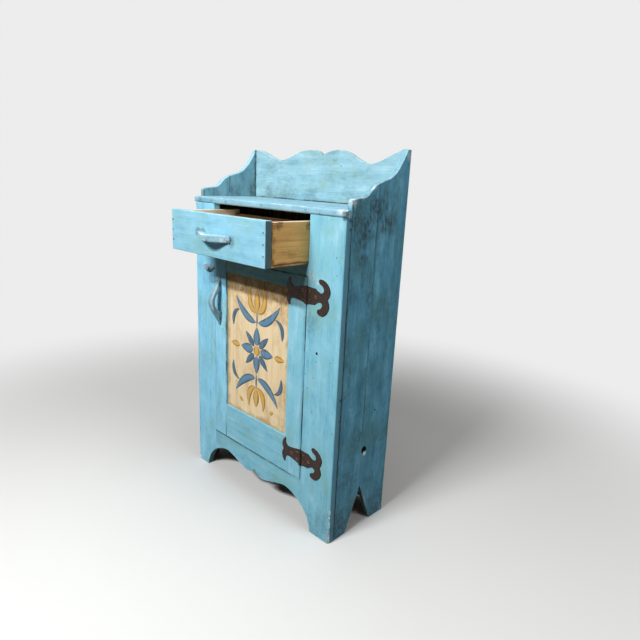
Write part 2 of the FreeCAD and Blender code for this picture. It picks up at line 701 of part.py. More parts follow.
def turn_button():
    """Almond-shaped wooden button on its screw, with its long end over the stile."""
    back = -FACE_CLEARANCE
    long_tip = vec(button_x - BUTTON_LONG_END, back, button_z)
    short_tip = vec(button_x + BUTTON_SHORT_END, back, button_z)
    middle = (long_tip + short_tip) / 2
    rise = vec(0, 0, BUTTON_WIDTH / 2)
    outline = [arc(long_tip, middle + rise, short_tip), arc(short_tip, middle - rise, long_tip)]
    almond = prism(outline, vec(0, -BUTTON_THICKNESS, 0))
    face = back - BUTTON_THICKNESS
    front_edges = [edge for edge in almond.Edges if abs(edge.BoundBox.YMax - face) < SAME_PLACE]
    almond = almond.makeChamfer(BUTTON_CHAMFER, front_edges)
    bore = rod(SCREW_RADIUS + PIN_CLEARANCE, BUTTON_THICKNESS, vec(button_x, back, button_z), vec(0, -1, 0))
    return almond.cut(bore)


def button_screw(fit=0.0):
    """Round-headed screw that the button turns on; fit makes it the pilot hole."""
    front = -(2 * FACE_CLEARANCE + BUTTON_THICKNESS)
    start = vec(button_x, front, button_z)
    shank = rod(SCREW_RADIUS + fit, BUTTON_SCREW_BITE - front + fit, start, vec(0, 1, 0))
    if fit:
        return shank
    head = rod(SCREW_HEAD_RADIUS, SCREW_HEAD_HEIGHT, start, vec(0, -1, 0))
    return union([shank, head])


# All pieces by name

case = {}
for name, side in (("left", -1), ("right", 1)):
    front_plank, rear_plank = side_planks(side)
    case[f"{name}_side_front_plank"] = front_plank
    case[f"{name}_side_rear_plank"] = rear_plank
    case[f"{name}_drawer_runner"] = runner(side)
    case[f"{name}_drawer_guide"] = guide(side)
    for level_name, top in (("floor", APRON_TOP), ("lower_shelf", lower_shelf_top),
                            ("upper_shelf", upper_shelf_top)):
        case[f"{name}_{level_name}_cleat"] = cleat(side, top)
case["left_face_stile"] = face_stile(-1).cut(button_screw(JOINT_FIT))
right_stile_holes = nail_holes(hinge_nail_places[1], -LEAF_THICKNESS, HINGE_NAIL_LENGTH)
case["right_face_stile"] = face_stile(1).cut(right_stile_holes)
case["drawer_rail"] = face_rail((rail_under, slot_floor), rail_tenon_z)
case["scalloped_apron"] = face_rail((0, APRON_TOP), apron_tenon_z).cut(arch_cutter())
case["top_board"] = top_board()
case["gallery_crest"] = crest_board()
case["cupboard_floor"] = shelf(APRON_TOP, FACE_THICKNESS)
case["lower_shelf"] = shelf(lower_shelf_top, shelf_front)
case["upper_shelf"] = shelf(upper_shelf_top, shelf_front)
case["door_stop"] = door_stop()
for index in range(BACK_PLANKS):
    case[f"back_plank_{index + 1}"] = back_plank(index)
for name, z in hinge_heights.items():
    case[f"{name}_hinge_stile_leaf"] = hinge_leaf(1, z)
    case[f"{name}_hinge_pin"] = hinge_pin(z)
case["stile_leaf_nails"] = nails(hinge_nail_places[1], -LEAF_THICKNESS, HINGE_NAIL_LENGTH)
case["face_frame_nails"] = nails(frame_nail_places, 0, FRAME_NAIL_LENGTH)
case["button_screw"] = button_screw()

drawer = {
    "drawer_front": drawer_front(),
    "drawer_left_side": drawer_side(-1),
    "drawer_right_side": drawer_side(1),
    "drawer_back": board(back_x, back_y, back_z),
    "drawer_bottom": drawer_bottom(),
    "drawer_pull": drawer_pull(),
    "drawer_pull_screws": screws(pull_screw_places, DRAWER_FRONT_THICKNESS),
    "drawer_front_nails": nails(drawer_nail_places, 0, DRAWER_NAIL_LENGTH),
}
for shape in drawer.values():
    shape.translate(vec(0, -REST_OPENING, 0))

door = {
    "door_latch_stile": door_stile(-1),
    "door_hinge_stile": door_stile(1),
    "door_bottom_rail": door_rail((door_low, panel_low), door_tenons[0]),
    "door_top_rail": door_rail((panel_high, door_high), door_tenons[1]),
    "door_panel": door_panel(),
    "door_handle": door_handle(),
    "door_handle_screws": screws(handle_screw_places, DOOR_THICKNESS),
    "door_leaf_nails": nails(hinge_nail_places[-1], -LEAF_THICKNESS, HINGE_NAIL_LENGTH),
}
for name, z in hinge_heights.items():
    door[f"{name}_hinge_door_leaf"] = hinge_leaf(-1, z)

button = {"turn_button": turn_button()}

os.makedirs("parts", exist_ok=True)
for body in (case, drawer, door, button):
    for name, shape in body.items():
        shape.translate(vec(0, front_y, 0))
        shape.exportStep(f"parts/{name}.step")
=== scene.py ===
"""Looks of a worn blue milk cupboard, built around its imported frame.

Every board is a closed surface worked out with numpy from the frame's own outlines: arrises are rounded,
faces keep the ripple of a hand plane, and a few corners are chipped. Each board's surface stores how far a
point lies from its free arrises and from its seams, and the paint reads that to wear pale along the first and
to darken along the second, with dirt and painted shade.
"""

import logging
import math
from collections.abc import Sequence
from dataclasses import dataclass, field, replace
from enum import Enum, Flag, auto

import bmesh
import bpy
import numpy as np
from mathutils import Matrix, Vector


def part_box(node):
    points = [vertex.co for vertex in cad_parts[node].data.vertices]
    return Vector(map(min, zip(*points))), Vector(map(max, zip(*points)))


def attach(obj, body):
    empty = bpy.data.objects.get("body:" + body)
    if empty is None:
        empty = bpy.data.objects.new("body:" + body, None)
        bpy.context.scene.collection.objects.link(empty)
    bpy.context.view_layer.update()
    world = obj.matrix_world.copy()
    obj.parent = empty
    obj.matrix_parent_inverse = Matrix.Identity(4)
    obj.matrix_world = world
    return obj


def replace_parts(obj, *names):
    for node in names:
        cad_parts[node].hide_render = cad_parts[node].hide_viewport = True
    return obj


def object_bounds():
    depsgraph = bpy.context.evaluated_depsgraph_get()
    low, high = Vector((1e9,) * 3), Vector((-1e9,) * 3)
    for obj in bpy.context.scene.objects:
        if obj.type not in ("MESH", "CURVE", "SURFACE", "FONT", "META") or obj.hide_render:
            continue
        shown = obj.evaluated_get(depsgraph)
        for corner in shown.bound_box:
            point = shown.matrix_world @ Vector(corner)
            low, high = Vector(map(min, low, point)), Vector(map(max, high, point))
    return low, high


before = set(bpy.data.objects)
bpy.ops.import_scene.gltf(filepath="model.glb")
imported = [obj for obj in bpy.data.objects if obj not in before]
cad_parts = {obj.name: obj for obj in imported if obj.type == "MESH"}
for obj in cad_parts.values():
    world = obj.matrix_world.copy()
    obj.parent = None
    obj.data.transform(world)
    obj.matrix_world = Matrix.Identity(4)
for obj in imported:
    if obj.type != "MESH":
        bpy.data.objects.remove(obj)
CAD_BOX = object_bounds()
LOG = logging.getLogger("milk_cupboard")
MM = 0.001
FAR_AWAY = 1.0
Points = np.ndarray
Level = "Wire | float"


# Shader tools


def tint(code: str) -> tuple[float, float, float, float]:
    """Linear colour of a hexadecimal display colour.

    Args:
        code: six hexadecimal digits.

    Returns:
        Red, green, blue and a full alpha.
    """
    shares = [int(code[i:i + 2], 16) / 255 for i in (0, 2, 4)]
    linear = [c / 12.92 if c <= 0.04045 else ((c + 0.055) / 1.055) ** 2.4 for c in shares]
    return (*linear, 1.0)


class Wire:
    """An output socket of a shader that takes part in sums with numbers and other wires."""

    def __init__(self, shader: "Shader", socket: bpy.types.NodeSocket) -> None:
        """Keep the socket and the shader that it belongs to."""
        self.shader = shader
        self.socket = socket

    def maths(self, operation: str, first: Level, second: Level = 0.0) -> "Wire":
        """Add a Math node.

        Args:
            operation: what the node does.
            first: its first number or wire.
            second: its second number or wire.

        Returns:
            The node's value.
        """
        return self.shader.node("ShaderNodeMath", {"operation": operation}, {0: first, 1: second})

    def sibling(self, output: int | str) -> "Wire":
        """Another output of the same node."""
        return Wire(self.shader, self.socket.node.outputs[output])

    def __add__(self, other: Level) -> "Wire":
        """Sum."""
        return self.maths("ADD", self, other)

    def __radd__(self, other: Level) -> "Wire":
        """Sum with a number on the left."""
        return self.maths("ADD", other, self)

    def __sub__(self, other: Level) -> "Wire":
        """Difference."""
        return self.maths("SUBTRACT", self, other)

    def __rsub__(self, other: Level) -> "Wire":
        """Difference from a number on the left."""
        return self.maths("SUBTRACT", other, self)

    def __mul__(self, other: Level) -> "Wire":
        """Product."""
        return self.maths("MULTIPLY", self, other)

    def __rmul__(self, other: Level) -> "Wire":
        """Product with a number on the left."""
        return self.maths("MULTIPLY", other, self)

    def __truediv__(self, other: Level) -> "Wire":
        """Quotient."""
        return self.maths("DIVIDE", self, other)

    def __pow__(self, other: Level) -> "Wire":
        """Power."""
        return self.maths("POWER", self, other)

    def __or__(self, other: Level) -> "Wire":
        """The larger of two masks."""
        return self.maths("MAXIMUM", self, other)


class Shader:
    """Node tree of one material or of the world."""

    def __init__(self, owner: bpy.types.Material | bpy.types.World) -> None:
        """Start with an empty tree.

        Args:
            owner: the material or world that the tree belongs to.
        """
        self.owner = owner
        owner.use_nodes = True
        self.tree = owner.node_tree
        self.tree.nodes.clear()

    @classmethod
    def named(cls, name: str) -> "Shader":
        """Shader of a new material."""
        return cls(bpy.data.materials.new(name))

    def node(self, kind: str, settings: dict, inputs: dict, output: int | str = 0) -> Wire:
        """Add a node.

        Args:
            kind: the node's type.
            settings: its own properties, set first.
            inputs: a value or a wire for each socket, by name or number.
            output: which output to return.

        Returns:
            That output.
        """
        made = self.tree.nodes.new(kind)
        for name, value in settings.items():
            setattr(made, name, value)
        for key, value in inputs.items():
            if isinstance(value, Wire):
                self.tree.links.new(value.socket, made.inputs[key])
            else:
                made.inputs[key].default_value = value
        return Wire(self, made.outputs[output])

    def close(self, kind: str, skin: Wire) -> None:
        """End the tree with an output node of a kind."""
        self.tree.links.new(skin.socket, self.tree.nodes.new(kind).inputs["Surface"])

    def stored(self, name: str) -> Wire:
        """Value that a piece's mesh stores at each point."""
        return self.node("ShaderNodeAttribute", {"attribute_name": name}, {}, "Fac")

    def noise(self, spot: Wire, detail: float, roughness: float = 0.55) -> Wire:
        """Soft noise between 0 and 1 at a texture place of unit scale."""
        inputs = {"Vector": spot, "Scale": 1.0, "Detail": detail, "Roughness": roughness}
        return self.node("ShaderNodeTexNoise", {}, inputs, "Fac")

    def band(self, value: Level, start: float, end: float) -> Wire:
        """Smooth step from 0 at start to 1 at end, in either direction."""
        inputs = {"Value": value, "From Min": start, "From Max": end}
        return self.node("ShaderNodeMapRange", {"interpolation_type": "SMOOTHSTEP"}, inputs)

    def blend(self, share: Level, first: "Wire | Sequence", second: "Wire | Sequence") -> Wire:
        """Mix of two colours, all of the second where share is 1."""
        settings = {"data_type": "RGBA", "clamp_factor": True}
        return self.node("ShaderNodeMix", settings, {0: share, 6: first, 7: second}, 2)

    def surface(self, colour: Wire, roughness: Level, height: Wire, depth: float,
                **extra: Level) -> bpy.types.Material:
        """Close the tree with a Principled surface.

        Args:
            colour: base colour.
            roughness: gloss.
            height: relief between 0 and 1.
            depth: how deep a relief of 1 is, in metres.
            extra: other sockets of the surface, with underscores for spaces.

        Returns:
            The finished material.
        """
        relief = {"Strength": 1.0, "Distance": depth, "Height": height}
        bump = self.node("ShaderNodeBump", {}, relief, "Normal")
        inputs = {"Base Color": colour, "Roughness": roughness, "Normal": bump}
        inputs |= {key.replace("_", " "): value for key, value in extra.items()}
        self.close("ShaderNodeOutputMaterial", self.node("ShaderNodeBsdfPrincipled", {}, inputs))
        return self.owner


class Axis(Enum):
    """Direction of a board's grain."""

    X = 0
    Y = 1
    Z = 2


class Grain:
    """Places along and across the grain of one board, measured from its middle."""

    SEED_STEP = 7.31

    def __init__(self, shader: Shader, axis: Axis, middle: Sequence[float], seed: int) -> None:
        """Split the object's coordinates.

        Args:
            shader: the material's tree.
            axis: direction of the grain.
            middle: middle of the board.
            seed: moves the pattern, so that no two boards are alike.
        """
        self.shader = shader
        self.shift = seed * self.SEED_STEP
        self.spot = shader.node("ShaderNodeTexCoord", {}, {}, "Object")
        split = shader.node("ShaderNodeSeparateXYZ", {}, {0: self.spot})
        self.place = [split.sibling(i) for i in range(3)]
        parts = [self.place[i] - middle[i] for i in range(3)]
        self.along = parts[axis.value]
        self.across = (parts[(axis.value + 1) % 3], parts[(axis.value + 2) % 3])

    def stretch(self, across: float, along: float, shift: float = 0.0) -> Wire:
        """Texture place with its own scale across and along the grain.

        Args:
            across: cells per metre across the grain.
            along: cells per metre along it.
            shift: moves the pattern.

        Returns:
            The place as a vector.
        """
        first, second = self.across
        inputs = {0: first * across + (self.shift + shift), 1: second * across, 2: self.along * along}
        return self.shader.node("ShaderNodeCombineXYZ", {}, inputs)

    def even(self, scale: float, shift: float = 0.0) -> Wire:
        """Texture place with the same scale in every direction."""
        return self.stretch(scale, scale, shift)

    def near(self, *spot: float | None) -> Wire:
        """Distance from a point of the cupboard, or from a line where one coordinate is left open."""
        gaps = [self.place[i] - value for i, value in enumerate(spot) if value is not None]
        return sum(gap * gap for gap in gaps) ** 0.5


# Finishes


@dataclass(frozen=True)
class Blot:
    """A patch of old dirt, or of rubbed paint.

    Attributes:
        place: its middle on the cupboard, with nothing for an axis that it runs along.
        reach: how far it spreads.
        depth: how dense its middle is, from 0 to 1.
    """

    place: tuple[float | None, float | None, float | None]
    reach: float
    depth: float

    def mask(self, grain: Grain, edge: Wire, flecks: Wire) -> Wire:
        """Where the patch lies.

        Args:
            grain: places on the board.
            edge: noise that its outline wanders with.
            flecks: noise that breaks it up.

        Returns:
            A share from 0 to 1.
        """
        spread = grain.near(*self.place) + (edge - 0.5) * (1.6 * self.reach)
        broken = grain.shader.band(flecks, 0.38, 0.62) * 0.6 + 0.4
        return grain.shader.band(spread, self.reach, 0.2 * self.reach) * broken * self.depth


def blots(*rows: Sequence[float | None]) -> tuple[Blot, ...]:
    """Blots from rows of x, y and z, reach and depth.

    Args:
        rows: for each blot its place, with nothing for an axis that it runs along, and its reach, both in
            millimetres, and its depth.

    Returns:
        One blot for each row.
    """
    places = [tuple(None if value is None else value * MM for value in row[:3]) for row in rows]
    return tuple(Blot(place, reach * MM, depth) for place, (*_, reach, depth) in zip(places, rows))


def cracks_and_shade(node: str, *spots: tuple[float, float, float, float]) -> tuple[Blot, ...]:
    """Dark marks on a carved piece: split paint and dirt, and painted shade on its lower and right sides.

    Args:
        node: the piece's node.
        spots: where each one lies, as shares of the node's box along x, y and z, and its reach in
            millimetres.

    Returns:
        One blot for each.
    """
    low, high = (np.array(corner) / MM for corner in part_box(node))
    return blots(*((*(low + np.array(share) * (high - low)), reach, 0.95) for *share, reach in spots))


@dataclass(frozen=True)
class Pine:
    """Sawn pine: growth rings cut by the board's face, fine fibre, old dirt, and shade painted along its
    seams.

    Attributes:
        early: colour of the wide soft rings.
        late: colour of the thin hard rings.
        stain_and_shade: colour of old dirt, and of the shade painted along its seams.
        pale: colour of rubbed arrises and of whitened faces; on the drawer's inner faces that paleness partly
            paints light.
        ring_gap: width of one year's ring.
        heart: where the tree's middle lay, from the board's middle.
        contrast: how strongly the hard rings show.
        soiling: how much dirt lies on it.
        dusk: how strongly its seams are darkened, by painted shade and dirt.
        halo: how wide that darkening is.
        blots: its stains, some of them partly painted shade.
        slot: the record's slot for it.
    """

    early: str = "DDBE8E"
    late: str = "B58750"
    stain_and_shade: str = "7B5836"
    pale: str = "F1E8D6"
    ring_gap: float = 7 * MM
    heart: tuple[float, float] = (38 * MM, 70 * MM)
    contrast: float = 0.75
    soiling: float = 0.45
    dusk: float = 0.6
    halo: float = 8 * MM
    blots: tuple[Blot, ...] = ()
    slot: str = "bare_pine"

    HOLE = "1A1410"
    SHEEN = 0.25

    def colour(self, grain: Grain) -> tuple[Wire, Wire]:
        """Colour and relief of the wood.

        The ring count is the distance from the heart over the ring gap, bent by slow noise. Its fraction
        climbs from soft to hard wood and falls back at once.

        Args:
            grain: places on the board.

        Returns:
            The colour, and a relief between 0 and 1.
        """
        shader = grain.shader
        first = grain.across[0] - self.heart[0]
        second = grain.across[1] - self.heart[1]
        reach = (first * first + second * second) ** 0.5
        count = reach / self.ring_gap + shader.noise(grain.stretch(6.0, 1.3), 3.0) * 6.0
        rings = count.maths("FRACT", count)
        hard = shader.band(rings, 0.25, 0.85) * shader.band(rings, 1.0, 0.92)
        fibre = shader.noise(grain.stretch(520.0, 11.0), 3.0)
        streak = shader.noise(grain.stretch(90.0, 2.4, 6.1), 4.0)
        dirt = shader.noise(grain.stretch(19.0, 8.0, 3.7), 6.0, 0.68)
        wood = shader.blend(hard * self.contrast, tint(self.early), tint(self.late))
        wood = shader.blend(shader.band(streak, 0.45, 0.75) * 0.5, wood, tint(self.late))
        wood = shader.blend(shader.band(fibre, 0.4, 0.8) * 0.5, wood, tint(self.late))
        soiled = shader.band(dirt, 0.46, 0.78) * self.soiling
        return shader.blend(soiled, wood, tint(self.stain_and_shade)), hard * 0.3 + fibre * 0.7

    def material(self, name: str, board: "Board") -> bpy.types.Material:
        """Material of a bare board, darkened along its seams by painted shade and dirt, and pale on its
        rubbed and whitened faces.

        Args:
            name: the material's name.
            board: the board that wears it.

        Returns:
            The material.
        """
        shader = Shader.named(name)
        grain = Grain(shader, board.grain, board.middle(), board.seed)
        wood, relief = self.colour(grain)
        cloud = shader.noise(grain.even(26.0, 9.1), 4.0)
        # Whitened faces: pale aged wood, which on the drawer's inner faces also paints the light falling into
        # it.
        whitened = shader.band(shader.stored("coat") + (cloud - 0.5) * 0.6, 0.3, 0.6) * 0.78
        whitened = whitened * shader.band(shader.stored("seam"), 2 * MM, 5 * MM)
        wood = shader.blend(whitened, wood, tint(self.pale))
        # Painted shade and dirt along the seams, with the board's stains added to it.
        shadow = shader.stored("seam") - (cloud - 0.4) * (3 * self.halo)
        shade = shader.band(shadow, self.halo, -0.4 * self.halo) * self.dusk
        flecks = shader.noise(grain.stretch(130.0, 60.0, 2.9), 4.0, 0.62)
        for blot in self.blots:
            shade = shade | blot.mask(grain, cloud, flecks)
        scuff = shader.band(shader.stored("arris") - (cloud - 0.4) * 5 * MM, 1.4 * MM, -1.0 * MM) * 0.6
        wood = shader.blend(scuff, wood, tint(self.pale))
        wood = shader.blend(shade, wood, tint(self.stain_and_shade))
        wood = shader.blend(shader.band(shader.stored("pit"), 0.3, 0.8), wood, tint(self.HOLE))
        return shader.surface(wood, 0.6 + relief * 0.2, relief, 0.5 * MM, Specular_IOR_Level=self.SHEEN)


@dataclass(frozen=True)
class WornPaint:
    """Brushed milk paint on pine, rubbed pale on the arrises, and dark in the seams with dirt and painted
    shade.

    Attributes:
        light: colour where the film is thick and clean.
        body: its usual colour.
        deep: colour where it is thin.
        glaze: colour of the old glaze that yellowed over it in patches.
        grime_and_shade: colour of the dirt in seams and smudges, and of the shade painted beside seams and
            carved pieces.
        chalk: colour of the ground coat where it is rubbed.
        wood: the pine under it.
        smudge: how far dirt lies on open faces, from 0 to 1.
        rub: how wide the arrises are rubbed, in metres.
        end_dirt: how dull the sawn ends are, from 0 to 1.
        edge: colour of the sawn edges, or nothing where they are like the faces; on the right stile it paints
            the shade on its side faces, on the right side partly a highlight on its upward edges.
        seam: how wide the dark line in a seam is; on the door's latch stile the wider line also paints the
            shadow at the panel's recessed edge.
        blots: larger patches of dirt, some of them partly painted shade.
        scrapes: patches where it is rubbed down to the ground coat.
        slot: the record's slot for it.
    """

    light: str = "A3D9EC"
    body: str = "8ACBE0"
    deep: str = "70B4CC"
    glaze: str = "84B8B6"
    grime_and_shade: str = "26383C"
    chalk: str = "C4E0E4"
    wood: Pine = Pine(early="C9A877", late="8F6A42", soiling=0.7)
    smudge: float = 0.16
    rub: float = 1.3 * MM
    end_dirt: float = 0.0
    edge: str = ""
    seam: float = 2.2 * MM
    blots: tuple[Blot, ...] = ()
    scrapes: tuple[Blot, ...] = ()
    slot: str = "blue_paint"

    HOLE = "120E0B"
    END_GRAIN = "465755"
    SHEEN = 0.2

    def film(self, grain: Grain) -> tuple[Wire, Wire]:
        """Brush hairs along the grain over streaks, clouds and a patchy glaze.

        Args:
            grain: places on the board.

        Returns:
            The paint's colour, and a relief between 0 and 1.
        """
        shader = grain.shader
        hairs = shader.noise(grain.stretch(420.0, 10.0), 3.0, 0.6)
        streaks = shader.noise(grain.stretch(46.0, 2.2, 1.9), 4.0, 0.6)
        clouds = shader.noise(grain.stretch(24.0, 13.0, 5.3), 6.0, 0.68)
        tone = hairs * 0.25 + streaks * 0.3 + clouds * 0.45
        colour = shader.blend(shader.band(tone, 0.5, 0.385) * 0.9, tint(self.body), tint(self.deep))
        colour = shader.blend(shader.band(tone, 0.5, 0.615), colour, tint(self.light))
        patches = shader.noise(grain.stretch(11.0, 6.0, 11.7), 6.0, 0.68)
        colour = shader.blend(shader.band(patches, 0.46, 0.7) * 0.7, colour, tint(self.glaze))
        return colour, hairs * 0.6 + streaks * 0.4

    def specks(self, grain: Grain, count: float, size: float, share: float) -> Wire:
        """Round specks in some of the cells of an even pattern.

        Args:
            grain: places on the board.
            count: cells per metre.
            size: radius of a speck.
            share: how many of the cells hold one.

        Returns:
            1 in the middle of a speck.
        """
        shader = grain.shader
        inputs = {"Vector": grain.even(count, 2.2), "Scale": 1.0}
        cells = shader.node("ShaderNodeTexVoronoi", {}, inputs, "Distance")
        chance = shader.node("ShaderNodeSeparateColor", {}, {0: cells.sibling("Color")})
        spots = shader.band(cells, size * count, 0.5 * size * count)
        return spots * shader.band(chance, 0.98 - share, 1.02 - share)

    def dirt(self, grain: Grain, seam: Wire) -> Wire:
        """A broken line in each seam with a faint halo of painted shade and dirt, smudges, blots, specks and
        worm holes.

        Args:
            grain: places on the board.
            seam: distance from the board's seams.

        Returns:
            The share of dirt and painted shade, from 0 to 1.
        """
        shader = grain.shader
        clouds = shader.noise(grain.stretch(34.0, 9.0, 8.8), 5.0, 0.66)
        flecks = shader.noise(grain.stretch(120.0, 70.0, 6.6), 4.0, 0.62)
        mottle = clouds * 0.6 + flecks * 0.4
        line = shader.band(seam - (mottle - 0.47) * 9 * MM, self.seam, 0.15 * self.seam)
        line = line * (shader.band(clouds, 0.42, 0.52) * 0.8 + 0.15)
        # Faint darkening beside each seam: painted shade of the joint, with dirt.
        halo = shader.band(seam - (clouds - 0.5) * 34 * MM, 14 * MM, -6 * MM) * 0.35
        loose = shader.band(mottle, 0.5, 0.7) * self.smudge
        eaten = shader.band(clouds, 0.53, 0.6)
        worms = self.specks(grain, 75.0, 2.2 * MM, 0.4) * eaten * min(1.0, 2 * self.smudge)
        mask = line | halo | loose | self.specks(grain, 19.0, 2.6 * MM, 0.24) * 0.85 | worms * 0.8
        drift = shader.noise(grain.stretch(40.0, 26.0, 8.8), 5.0, 0.66)
        for blot in self.blots:
            mask = mask | blot.mask(grain, drift, flecks)
        return mask

    def material(self, name: str, board: "Board") -> bpy.types.Material:
        """Material of a painted board.

        Args:
            name: the material's name.
            board: the board that wears it.

        Returns:
            The material.
        """
        shader = Shader.named(name)
        grain = Grain(shader, board.grain, board.middle(), board.seed)
        film, brush = self.film(grain)
        wood, fibre = self.wood.colour(grain)
        arris, seam, bare = shader.stored("arris"), shader.stored("seam"), shader.stored("bare")
        grit = shader.noise(grain.stretch(75.0, 26.0, 4.4), 5.0, 0.65)
        rubbed = arris - (grit - 0.5) * (4.0 * self.rub)
        chalky = shader.band(rubbed, self.rub, 0.2 * self.rub) * 0.6
        chalky = chalky | shader.band(bare + grit * 0.5, 0.36, 0.5)
        for scrape in self.scrapes:
            chalky = chalky | scrape.mask(grain, grit, shader.noise(grain.even(210.0, 7.7), 3.0))
        open_wood = shader.band(rubbed, -0.1 * self.rub, -0.5 * self.rub)
        open_wood = open_wood | shader.band(bare + grit * 0.9, 0.95, 1.2)
        paint = shader.blend(shader.stored("ends") * self.end_dirt, film, tint(self.END_GRAIN))
        # The edge colour paints shade on the right stile's side faces, and partly a highlight on the right
        # side's upward edges.
        if self.edge:
            sawn = shader.stored("edge") | shader.stored("ends")
            paint = shader.blend(sawn * 0.75, paint, tint(self.edge))
        paint = shader.blend(chalky, paint, tint(self.chalk))
        paint = shader.blend(open_wood * 0.8, paint, wood)
        # Dirt and painted shade darken the paint here.
        paint = shader.blend(self.dirt(grain, seam), paint, tint(self.grime_and_shade))
        paint = shader.blend(shader.band(shader.stored("pit"), 0.3, 0.8), paint, tint(self.HOLE))
        coated = shader.band(shader.stored("coat") + (grit - 0.5) * 0.4, 0.4, 0.6)
        colour = shader.blend(coated, wood, paint)
        relief = brush * 0.55 + fibre * 0.2 + (1.0 - open_wood) * 0.25
        roughness = 0.4 + grit * 0.25 + shader.stored("pit")
        return shader.surface(colour, roughness, relief, 0.6 * MM, Specular_IOR_Level=self.SHEEN)

    def plain(self, name: str, axis: Axis, node: str, seed: int) -> bpy.types.Material:
        """Material of a small painted piece that stores nothing: film and grit alone.

        Args:
            name: the material's name.
            axis: direction of its grain.
            node: the piece's node.
            seed: moves the pattern.

        Returns:
            The material.
        """
        shader = Shader.named(name)
        low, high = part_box(node)
        grain = Grain(shader, axis, (low + high) / 2, seed)
        film, brush = self.film(grain)
        grit = shader.noise(grain.even(120.0, 4.4), 5.0, 0.65)
        worn = shader.blend(shader.band(grit, 0.54, 0.7) * 0.7, film, tint(self.grime_and_shade))
        return shader.surface(worn, 0.42 + grit * 0.25, brush, 0.5 * MM, Specular_IOR_Level=self.SHEEN)


@dataclass(frozen=True)
class ForgedIron:
    """Hammered iron with a brown rust bloom.

    Attributes:
        skin: colour of the forge scale.
        rust: colour of the bloom.
        bright: colour of rubbed high spots, which on the nail heads also paint glints.
        glint: how much of it shows that colour, from 0 to 1.
        slot: the record's slot for it.
    """

    skin: str = "271C18"
    rust: str = "4F3022"
    bright: str = "8A7358"
    glint: float = 0.15
    slot: str = "wrought_iron"

    def material(self, name: str) -> bpy.types.Material:
        """Hammer marks, pits and rust.

        Args:
            name: the material's name.

        Returns:
            The material.
        """
        shader = Shader.named(name)
        spot = shader.node("ShaderNodeTexCoord", {}, {}, "Object")
        scaled = [shader.node("ShaderNodeVectorMath", {"operation": "SCALE"}, {0: spot, "Scale": scale})
                  for scale in (55.0, 170.0, 620.0)]
        marks, bloom, pits = (shader.noise(place, 4.0, 0.6) for place in scaled)
        colour = shader.blend(shader.band(bloom, 0.45, 0.68) * 0.85, tint(self.skin), tint(self.rust))
        colour = shader.blend(shader.band(pits, 0.6, 0.72) * self.glint, colour, tint(self.bright))
        return shader.surface(colour, 0.5 + bloom * 0.3, marks * 0.6 + pits * 0.4, 0.9 * MM, Metallic=0.35)


@dataclass(frozen=True)
class StencilPaint:
    """Thin flat paint on the panel's relief, with the wood's fibre showing through it.

    Attributes:
        body: colour of the middle of a stroke.
        edge: colour towards its rim.
        under: colour of the wood where it is thin.
        slot: the record's slot for it.
    """

    body: str
    edge: str
    under: str = "CDB386"
    slot: str = "panel_pine"

    def material(self, name: str) -> bpy.types.Material:
        """Material that darkens with the stored distance from a stroke's spine.

        Args:
            name: the material's name.

        Returns:
            The material.
        """
        shader = Shader.named(name)
        grain = Grain(shader, Axis.Z, (0.0, 0.0, 0.0), 3)
        fibre = shader.noise(grain.stretch(420.0, 14.0), 4.0, 0.6)
        clouds = shader.noise(grain.even(38.0), 3.0)
        outer = shader.band(shader.stored("rim") + (clouds - 0.5) * 0.7, 0.35, 0.95)
        colour = shader.blend(outer, tint(self.body), tint(self.edge))
        colour = shader.blend(shader.band(fibre + clouds * 0.25, 0.66, 0.85) * 0.6, colour, tint(self.under))
        return shader.surface(colour, 0.6, fibre, 0.3 * MM)


# Surfaces


class Lay(Enum):
    """Which axes run across a board, up it and through it."""

    FACE = (0, 2, 1)
    CHEEK = (1, 2, 0)
    FLAT = (0, 1, 2)


class Rim(Flag):
    """Rims of a board: its two ends across, its low and its high one."""

    NONE = 0
    LEFT = auto()
    RIGHT = auto()
    LOW = auto()
    HIGH = auto()
    ENDS = LEFT | RIGHT
    ROUND = LEFT | RIGHT | LOW | HIGH


class Coat(Enum):
    """Which of a board's broad faces are painted; its rims are painted unless it is bare."""

    BARE = auto()
    NEAR = auto()
    FAR = auto()
    BOTH = auto()


def node_points(node: str) -> Points:
    """Corner points of a node's solids.

    Args:
        node: the node's name.

    Returns:
        One row for each point.
    """
    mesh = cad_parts[node].data
    flat = np.empty(3 * len(mesh.vertices), np.float32)
    mesh.vertices.foreach_get("co", flat)
    return flat.reshape(-1, 3).astype(float)


def ripple(u: Points, v: Points, seed: int, length: float) -> Points:
    """Smooth unevenness between 0 and 1: the mean of six sine waves with random headings and lengths.

    Args:
        u: places along one direction.
        v: places along the other.
        seed: chooses the waves.
        length: their usual wave length.

    Returns:
        One value for each place.
    """
    draw = np.random.default_rng(seed)
    heading = draw.uniform(0, 2 * np.pi, 6)
    size = length * draw.uniform(0.5, 1.8, 6)
    phase = draw.uniform(0, 2 * np.pi, 6)
    swing = (u[..., None] * np.cos(heading) + v[..., None] * np.sin(heading)) * (2 * np.pi / size) + phase
    return 0.5 + 0.5 * np.sin(swing).mean(-1)


def thinned(values: Points, gap: float) -> Points:
    """Sorted values with no two closer than a gap.

    Args:
        values: any numbers.
        gap: least step between two that stay.

    Returns:
        One value for each cell of that width.
    """
    ordered = np.sort(values)
    cells = np.floor((ordered - ordered[0]) / gap).astype(int)
    return ordered[np.unique(cells, return_index=True)[1]]


